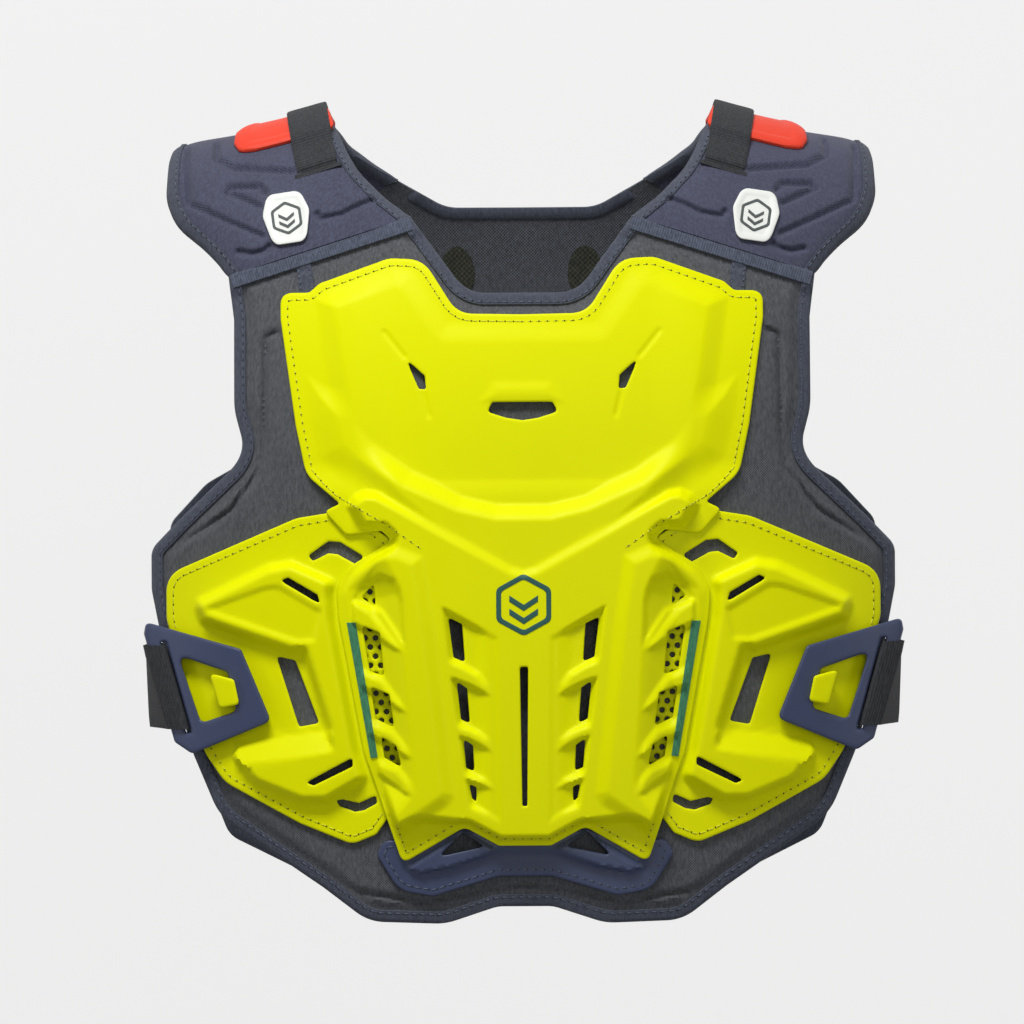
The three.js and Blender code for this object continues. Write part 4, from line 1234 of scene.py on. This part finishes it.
def eased(rows, way, column, width=0.05):
    """Column of a table at a way, with its corners eased."""
    steps = [np.interp(np.clip(way + d * width, 0, 2), rows[:, 0], rows[:, column])
             for d in (-1, -0.5, 0, 0.5, 1)]
    fade = np.minimum(1, np.minimum(way, 2 - way) / width)
    return mix(steps[2], np.mean(steps, 0), fade)


def pad_edge(way, across):
    """Place across the pad from its neck edge (0) to its arm edge (1)."""
    (neck_f, _), (arm_f, _) = front_ends
    (neck_b, _), (arm_b, _) = back_ends
    front = way < 1
    neck = mix(np.where(front, neck_f, neck_b), PAD_NECK_X, eased(pad_rows, way, 1))
    arm = mix(np.where(front, arm_f, arm_b), PAD_REACH_X, eased(pad_rows, way, 2))
    return mix(neck, arm, across)


pad_grooves = grooves([
    from_left((186, 143), (189, 197)), from_left((191, 199), (228, 218), (263, 234)),
    from_left((216, 138), (216, 153), (234, 163), (293, 168)),
    from_left((229, 188), (231, 183), (261, 183), (266, 189)), from_left((228, 188), (260, 203)),
    from_left((240, 249), (253, 252), (266, 249), (271, 244)),
    from_left((319, 212), (322, 217), (344, 213), (353, 208), (374, 198))], 2.8, 2.7)


def pad_height(across, way):
    """Lift of the pad's face: it falls to its rim, and its grooves are pressed in.

    The back half isn't in the photograph and has one groove along its middle.
    """
    lift = PAD_RISE - PAD_EDGE_DROP * np.abs(2 * across - 1) ** 6
    spot = over_shoulder(pad_edge(way, across), way, PAD_RISE) / MM
    pressed = pad_grooves(spot[..., 0], spot[..., 2])
    back_groove = -1.2 * (1 - smooth(np.abs(across - 0.5) * 30))
    return lift + np.where(way < 1, pressed, back_groove)


def make_pad(name):
    way = np.linspace(0, 2, 321)[:, None]
    across = np.linspace(0, 1, 91)[None, :]
    x = pad_edge(way, across)
    face = over_shoulder(x, way, pad_height(across, way))
    under = over_shoulder(x, way, -FOAM)
    middle = (pad_height(across, way) - FOAM) / 2
    neck_side = over_shoulder(x[:, :1] - 0.9, way, middle[:, :1])
    arm_side = over_shoulder(x[:, -1:] + 0.9, way, middle[:, -1:])
    return swept(name, np.concatenate([under, arm_side, face[:, ::-1], neck_side], 1))


def pad_band(edge, profile):
    """Maker of a binding round the pad's neck edge (0) or arm edge (1)."""
    def make(name):
        way = np.linspace(0.0, 2.0, 161)[:, None]
        inset = np.array([row[0] for row in profile])[None, :]
        height = np.array([row[1] for row in profile])[None, :]
        x = pad_edge(way, edge)
        width = pad_edge(way, 1.0) - pad_edge(way, 0.0)
        across = np.clip(np.abs(edge - np.maximum(inset, 0) / width), 0, 1)
        upper = np.where(height > -2, pad_height(across, way) + height, height)
        return swept(name, over_shoulder(x + inset * (1 - 2 * edge), way, upper))
    return make


PAD_BINDING = [(3, -6.4), (4.8, -7.3), (4.5, -7.7), (1, -7.7), (-0.7, -7.0), (-1.2, -5.0),
               (-1.1, -3.2), (-0.6, 0.2), (0.8, 0.9), (3, 1.0), (4.6, 1.0), (5, 0.5), (4.7, -0.6)]
for pad in pair(make_pad, "padded_shoulder", "pad_fabric", ["shoulder_pad"]):
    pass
ways = np.linspace(0, 2, 200)
for edge, where in ((0.0, "neck"), (1.0, "arm")):
    length = length_of(over_shoulder(pad_edge(ways, edge), ways, 0))
    tapes = pair(pad_band(edge, PAD_BINDING), f"pad_binding_{where}", "woven_tape")
    inset = np.array(3.6) / (pad_edge(ways, 1.0) - pad_edge(ways, 0.0))
    line = over_shoulder(pad_edge(ways, np.abs(edge - inset)), ways,
                         pad_height(np.abs(edge - inset), ways) + 1.1)
    # The webbing's dark finish paints the shade in the needle holes.
    sew_both(f"pad_stitches_{where}", [line], "woven_tape", thread_grey, hole=finishes["webbing"])

# %% [markdown]
# ## Tapes, straps and tabs on the shoulders
# A webbing strap runs over each pad and holds a soft tab down. Two functions give the tab's
# height and the strap's bed over it, so the strap lies on the tab wherever the tab is. A
# ribbed tape covers each front seam.

# %% Seam tapes, straps and tabs
def make_seam_tape(name):
    line = evenly(np.array([front_ends[1], front_ends[0]]), 2.0, closed=False)
    profile = [(3, 0.4), (6.3, 0.4), (6.5, 0.9), (6.1, 1.5), (0.7, 1.7), (-0.6, 1.2), (-0.7, 0.4)]
    return tape_on(name, line, profile, flat_at(0))


def slab_over(way, low, high, under, face, columns=13, edge=0.45):
    """Closed slab over the shoulder between two edges, with rounded long sides."""
    way, low, high = way[:, None], low[:, None], high[:, None]
    share = np.linspace(0, 1, columns)[None, :]
    x = mix(low, high, share)
    bottom = over_shoulder(x, way, under(share, way))
    top = over_shoulder(x, way, face(share, way))
    half = (under(share, way) + face(share, way)) / 2
    half = np.broadcast_to(half, x.shape)
    sides = [over_shoulder(x[:, end] + way_out * edge, way[:, 0], half[:, end])
             for end, way_out in ((-1, 1), (0, -1))]
    return np.concatenate([bottom, sides[0][:, None], top[:, ::-1], sides[1][:, None]], 1)


def tab_rise(way):
    """How far the tab stands off the pad: thickest over the crest."""
    return 2.4 + 1.8 * smooth((0.5 - np.abs(way - 1)) / 0.35)


def strap_bed(way):
    """Height under the strap: on the pad, up over the tab, and down into the pad at its ends."""
    from_crest = np.abs(way - 1)
    climb = smooth((1 - np.where(way < 1, 0.51, 0.42) - from_crest) / 0.08)
    tuck = 1 - smooth((0.65 - from_crest) / 0.035)
    return PAD_RISE + LAYER_GAP + climb * tab_rise(way) - 3.0 * tuck


def strap_middle(way):
    return 108.5 - 6.5 * (np.abs(way - 1) / 0.65) ** 2


def make_shoulder_strap(name):
    def face(u, w):
        return strap_bed(w) + STRAP_THICK - 0.3 * np.abs(2 * u - 1) ** 8

    way = np.linspace(*STRAP_WAYS, 150)
    middle = strap_middle(way)
    return swept(name, slab_over(way, middle - STRAP_HALF, middle + STRAP_HALF,
                                 lambda u, w: strap_bed(w) + 0 * u, face))


def make_tab(name):
    way = np.linspace(*TAB_WAYS, 140)
    inner, outer = [np.interp(way, tab_rows[:, 0], tab_rows[:, k]) * TAB_SCALE for k in (1, 2)]
    neck = pad_edge(way, 0.0)
    end = np.minimum(way - TAB_WAYS[0], TAB_WAYS[1] - way)[:, None]

    def face(u, w):
        rounding = np.maximum(np.abs(2 * u - 1) ** 14, 1 - smooth(end / 0.012))
        panel = smooth((0.78 - np.abs(2 * u - 1)) * 12) * smooth((end - 0.04) * 30)
        return PAD_RISE + tab_rise(w) - 0.9 * rounding - 0.6 * panel
    return swept(name, slab_over(way, neck + inner, neck + outer, flat_at(PAD_RISE + LAYER_GAP),
                                 face, columns=41, edge=0.3))


def make_slot_shade(name):
    """Sheet in the strap's dark finish over the pad where the strap goes in: painted shade in the
    slot's mouth, wider than the strap.
    """
    way = np.linspace(*SLOT_WAYS, 8)
    middle = strap_middle(way)
    return swept(name, slab_over(way, middle - SLOT_HALF, middle + SLOT_HALF, flat_at(1.0),
                                 flat_at(PAD_RISE + 0.12)))


pair(make_seam_tape, "ribbed_tape", "woven_tape", ["seam_tape"], ribbed_cloth)
ways = np.linspace(*STRAP_WAYS, 200)
strap_line = length_of(over_shoulder(strap_middle(ways), ways, strap_bed(ways)))
straps = pair(make_shoulder_strap, "over_strap", "webbing", ["shoulder_strap"])
pair(make_tab, "rubber_tab", "tab_rubber", ["strap_tab"])
# The dark sheets at the slots paint the shade in the slots' mouths.
pair(make_slot_shade, "strap_slot", "webbing")

# %% [markdown]
# ## The hem shell and the back shell
# The navy shell at the hem carries two three-cornered windows. The back shell isn't in the
# photograph. It repeats the chest shell's language, so that the vest looks whole from behind.

# %% Hem and back shells
TAIL_STEP = [(0, 0.116), (0.838, 0.302), (0.824, 0.605), (0.784, 0.709), (0.65, 0.733),
             (0.2, 0.512), (0, 0.512)]
WINDOW_FRAME = from_left((404, 866), (463, 829), (497, 848), (486, 854), (450, 866), (418, 872))
tail_painted = painted(flat_at(FLANGE), [
    *both_sides(TAIL_HEIGHT, 3, place(TAIL_STEP, *TAIL)), *both_sides(6.2, 1.4, WINDOW_FRAME)])
tail_vent = rounded(place([(0.42, 0.256), (0.27, 0.42), (0.58, 0.535)], *TAIL), 1.2)
tail_shell = sheet_mesh("hem_moulding", tail_corners, tail_painted, WALL, rim=0.9, spacing=1.4,
                        holes=[tail_vent, flipped(tail_vent)])
dress(tail_shell, "navy_plastic", nodes=["tail_shell"])
tail_rim = inset_line(tail_corners, 3.2)
tail_rows = runs_of(tail_rim, np.all([-depth_inside(*tail_rim.T, centre_loop) > 1,
                                      tail_painted(*tail_rim.T) < 3.6], axis=0), 4)
# The webbing's dark finish paints the shade in the needle holes.
sew("tail_stitches", [on_sheet(line, tail_painted) for line in tail_rows], "navy_plastic",
    thread_grey, hole=finishes["webbing"])

BACK_SHELL = (0, 124, 62, 301)
back_shell_corners = mirrored(place([
    (0, 0.04), (0.3, 0.04, 0.1), (0.5, 0, 0.15), (0.8, 0.05, 0.1), (0.88, 0.2, 0.2),
    (0.68, 0.4, 0.25), (0.98, 0.56, 0.25), (1, 0.68), (0.8, 0.93, 0.2), (0.4, 1, 0.2),
    (0, 1)], *BACK_SHELL))
back_painted = painted(flat_at(FLANGE), [(9, 14, mirrored(place([
    (0, 0.1), (0.42, 0.1), (0.62, 0.2), (0.42, 0.42), (0.62, 0.6), (0.6, 0.8), (0.3, 0.9),
    (0, 0.9)], *BACK_SHELL)))])
back_ribs = grooves([[(0, -110), (44, -96)], [(0, -145), (40, -131)], [(0, -180), (34, -166)],
                     [(0, -215), (38, -201)], [(0, -250), (52, -236)], [(0, -285), (56, -271)],
                     [(0, -316), (44, -304)]], 1.6, 4.0)


def back_shell_top(x, z):
    return back_painted(x, z) + back_ribs(x, z)


back_shell = sheet_mesh("back_moulding", back_shell_corners, back_shell_top, WALL, BACK, rim=0.9,
                        spacing=2.2)
dress(back_shell, "shell_plastic", nodes=["back_shell"])
sew("back_stitches", [on_sheet(inset_line(back_shell_corners, 3.6), back_shell_top, side=BACK)],
    "shell_plastic", thread_yellow)

# %% [markdown]
# ## Linings and mesh
# The panels' inner faces are lined with a plain dark cloth, with two mesh ovals at the back of
# the neck. They are sheets like the shells, only thinner, and lie on the inner side of the foam.

# %% Linings and mesh ovals
def lining_sheet(name, corners, side):
    inner = [tuple(p) for p in inset_line(corners, 4.5, 6.0)]
    sheet = sheet_mesh(name, inner, flat_at(-FOAM + 0.15), 0.5, side, rim=0.15, spacing=5.0)
    dress(sheet, "panel_fabric", lining)


def oval(x, z, half_width, half_height, count=28):
    return [(x + half_width * math.cos(a), z + half_height * math.sin(a))
            for a in np.linspace(0, 2 * math.pi, count, endpoint=False)]


lining_sheet("lining_front", front_corners, FRONT)
lining_sheet("lining_back", back_corners, BACK)
for x, side in ((33, "right"), (-33, "left")):
    mesh_oval = sheet_mesh(f"mesh_oval_{side}", oval(x, -64, 9, 14), flat_at(-FOAM - 0.1), 0.6,
                           BACK, rim=0.2, spacing=1.5)
    dress(mesh_oval, "panel_fabric", open_mesh)

# %% [markdown]
# ## Short tapes
# A short tape runs from each shoulder seam down to the chest shell. Its height is the panel's
# own height and a millimetre more, so it follows the panel's pressed edge.

# %% Short tapes from the shoulder seams down to the chest shell
short_tape = from_left((297, 256), (311, 251), (317, 296), (301, 296))


def short_tape_top(x, z):
    return front_top(x, z) + 1.0


pair(maker(short_tape, short_tape_top, 0.9, rim=0.3, spacing=1.2), "short_tape", "woven_tape")
seams = [evenly(np.array(from_left(*ends)), 2.0, closed=False)
         for ends in (((299, 258), (303, 294)), ((309, 254), (315, 294)))]
# The webbing's dark finish paints the shade in the needle holes.
sew_both("short_tape_stitches", [on_sheet(line, front_top, 1.05) for line in seams], "woven_tape",
         thread_grey, pitch=3.0, hole=finishes["webbing"])

# %% [markdown]
# ## Marks and strips
# The printed marks carry no name: a six-sided ring with two chevrons stands where a maker's
# sign would. The sign is drawn once round the origin and set down where it is wanted, as a
# sheet half a millimetre thick. An image would do too, but a drawn sign stays sharp.

# %% Marks and strips
HEXAGON = [(0, 1), (0.88, 0.52), (0.88, -0.52), (0, -1), (-0.88, -0.52), (-0.88, 0.52)]


def mark_shapes(size):
    """The sign's ring, with its hole, and its two chevrons, around the origin."""
    ring = [(x * size, z * size, 0.25 * size) for x, z in HEXAGON]
    hole = [(x * size * 0.82, z * size * 0.82, 0.2 * size) for x, z in HEXAGON]
    chevrons = []
    for drop in (0.3, -0.12):
        half, fall, thick = 0.46 * size, 0.3 * size, 0.2 * size
        z = drop * size
        chevrons.append([(-half, z), (0, z - fall), (half, z), (half, z - thick),
                         (0, z - fall - thick), (-half, z - thick)])
    return [(ring, [hole]), *[(chevron, []) for chevron in chevrons]]


def set_down(corners, centre, turn):
    """Corners turned clockwise round the origin and moved to a centre."""
    c, s = math.cos(turn), math.sin(turn)
    return [(centre[0] + x * c + z * s, centre[1] + z * c - x * s, *rest)
            for x, z, *rest in corners]


def chest_print_top(x, z):
    return centre_top(x, z) + 0.28


def strip_top(x, z):
    return centre_top(x, z) + 0.8


CHEST_MARK = (0, -233)
for k, (shape, holes) in enumerate(mark_shapes(15.5)):
    cut_out = [set_down(hole, CHEST_MARK, 0) for hole in holes]
    part = sheet_mesh(f"chest_mark_{k}", set_down(shape, CHEST_MARK, 0), chest_print_top, 0.5,
                      rim=0.12, spacing=1.0, holes=cut_out)
    dress(part, "shell_plastic", green_print)
strip = from_left((347, 621), (356, 621), (377, 755), (370, 756))
pair(maker(strip, strip_top, 1.1, rim=0.2, spacing=1.0), "side_strip", "shell_plastic",
     material=green_cloth)

# %% [markdown]
# ## Badges
# A white badge sits on each shoulder pad, with the same sign in grey. It stands on the pad's
# lift over the form, and its prints lie a quarter of a millimetre over its face.

# %% Badges on the shoulders
BADGE_PLACE = ((117.5, -39.0), math.radians(8))
BADGE_SHAPE = [(0, 13), (8.4, 13, 6), (12, 2.6, 7.2), (8.4, -13, 7.2), (0, -13)]
badge_corners = set_down(mirrored(BADGE_SHAPE), *BADGE_PLACE)
badge_loop = outline(badge_corners, 1.0)


def badge_top(x, z):
    """The badge's face is dished inside a rim."""
    dish = smooth((depth_inside(x, z, badge_loop) - 2.2) / 1.4)
    return PAD_RISE + 2.4 - 0.5 * dish


def badge_print_top(x, z):
    return badge_top(x, z) + 0.25


pair(maker(badge_corners, badge_top, 0, rim=0.6, spacing=0.9, under=flat_at(PAD_RISE + LAYER_GAP)),
     "round_badge", "badge_rubber", ["shoulder_badge"])
for k, (shape, holes) in enumerate(mark_shapes(8.6)):
    make_print = maker(set_down(shape, *BADGE_PLACE), badge_print_top, 0.5, rim=0.1, spacing=0.8,
                       holes=[set_down(hole, *BADGE_PLACE) for hole in holes])
    pair(make_print, f"badge_mark_{k}", "badge_rubber", material=grey_print)

# %% [markdown]
# ## Camera, light and floor
# The photograph was taken level, from far away, so a long lens stands five metres off. A soft
# key light from above, a large front light and two weak side lights leave no hard shadow. One
# pale sheet is floor and backdrop. It glows, so that it looks as even as a lit studio wall, and
# it can be seen through from behind, so that a camera may stand there too.

# %% Camera, lights and backdrop
camera = in_scene("camera", bpy.data.cameras.new("camera"))
camera.location = (-0.0055, -5.08, -0.187)
camera.rotation_euler = (math.radians(90), math.radians(0.35), 0)
camera.data.sensor_width = 36
camera.data.lens = 351.6
bpy.context.scene.camera = camera


def soft_light(name, place, aim, size, energy):
    light = bpy.data.lights.new(name, "AREA")
    light.shape = "RECTANGLE"
    light.size, light.size_y = size
    light.energy = energy
    lamp = in_scene(name, light)
    lamp.location = place
    lamp.visible_camera = False
    lamp.rotation_euler = (Vector(aim) - Vector(place)).to_track_quat("-Z", "Y").to_euler()


soft_light("key", (-0.35, -1.15, 1.5), (0, 0, -0.15), (1.0, 0.5), 37)
soft_light("front", (0.5, -2.8, 0.1), (0, 0, -0.2), (1.4, 1.4), 9)
soft_light("left", (-2.0, -0.7, 0.1), (0, 0, -0.2), (0.8, 1.4), 4)
soft_light("right", (2.0, -0.7, 0.1), (0, 0, -0.2), (0.8, 1.4), 4)
world = bpy.data.worlds.new("studio")
world.use_nodes = True
world.node_tree.nodes["Background"].inputs["Color"].default_value = (1, 1, 1, 1)
world.node_tree.nodes["Background"].inputs["Strength"].default_value = 0.16
bpy.context.scene.world = world
bpy.context.scene.view_settings.view_transform = "Standard"

FLOOR_Z, WALL_Y, BEND, REACH = -0.8, 1.0, 0.25, 3.0
GLOW_DROP, GLOW_RATE = 0.6, 12
bend = [(WALL_Y - BEND + BEND * math.sin(a), FLOOR_Z + BEND - BEND * math.cos(a))
        for a in np.linspace(0, math.pi / 2, 13)]
rise = [(-REACH, FLOOR_Z), *bend, (WALL_Y, REACH)]
sweep = [(x, y, z) for y, z in rise for x in (-REACH, REACH)]
backdrop = new_piece("backdrop", sweep, [(2 * k, 2 * k + 1, 2 * k + 3, 2 * k + 2)
                                         for k in range(len(rise) - 1)])
paper, paper_shader, paper_tree = new_material("paper", "909090", 1.0)
place_in_room = paper_tree.node("ShaderNodeTexCoord", {}, {}, output=3)
height_in_room = paper_tree.node("ShaderNodeSeparateXYZ", {}, {"Vector": place_in_room}, output=2)
on_wall = ((height_in_room + GLOW_DROP) * GLOW_RATE).math("MAXIMUM", 0.0).math("MINIMUM", 1.0)
seen = paper_tree.node("ShaderNodeLightPath", {}, {})
connect(paper_shader, paper_tree,
        Emission_Color=on_wall.math("MAXIMUM", seen).colours("1E1E1E", "FFFFFF"))
paper_shader.inputs["Emission Strength"].default_value = 0.67
behind = paper_tree.node("ShaderNodeNewGeometry", {}, {}, output=6)
nothing = paper_tree.node("ShaderNodeBsdfTransparent", {}, {})
one_sided = paper_tree.node("ShaderNodeMixShader", {}, {0: behind, 2: nothing})
paper.node_tree.links.new(paper_shader.outputs[0], one_sided.socket.node.inputs[1])
paper.node_tree.links.new(one_sided.socket, paper.node_tree.nodes["Material Output"].inputs[0])
backdrop.data.materials.append(paper)
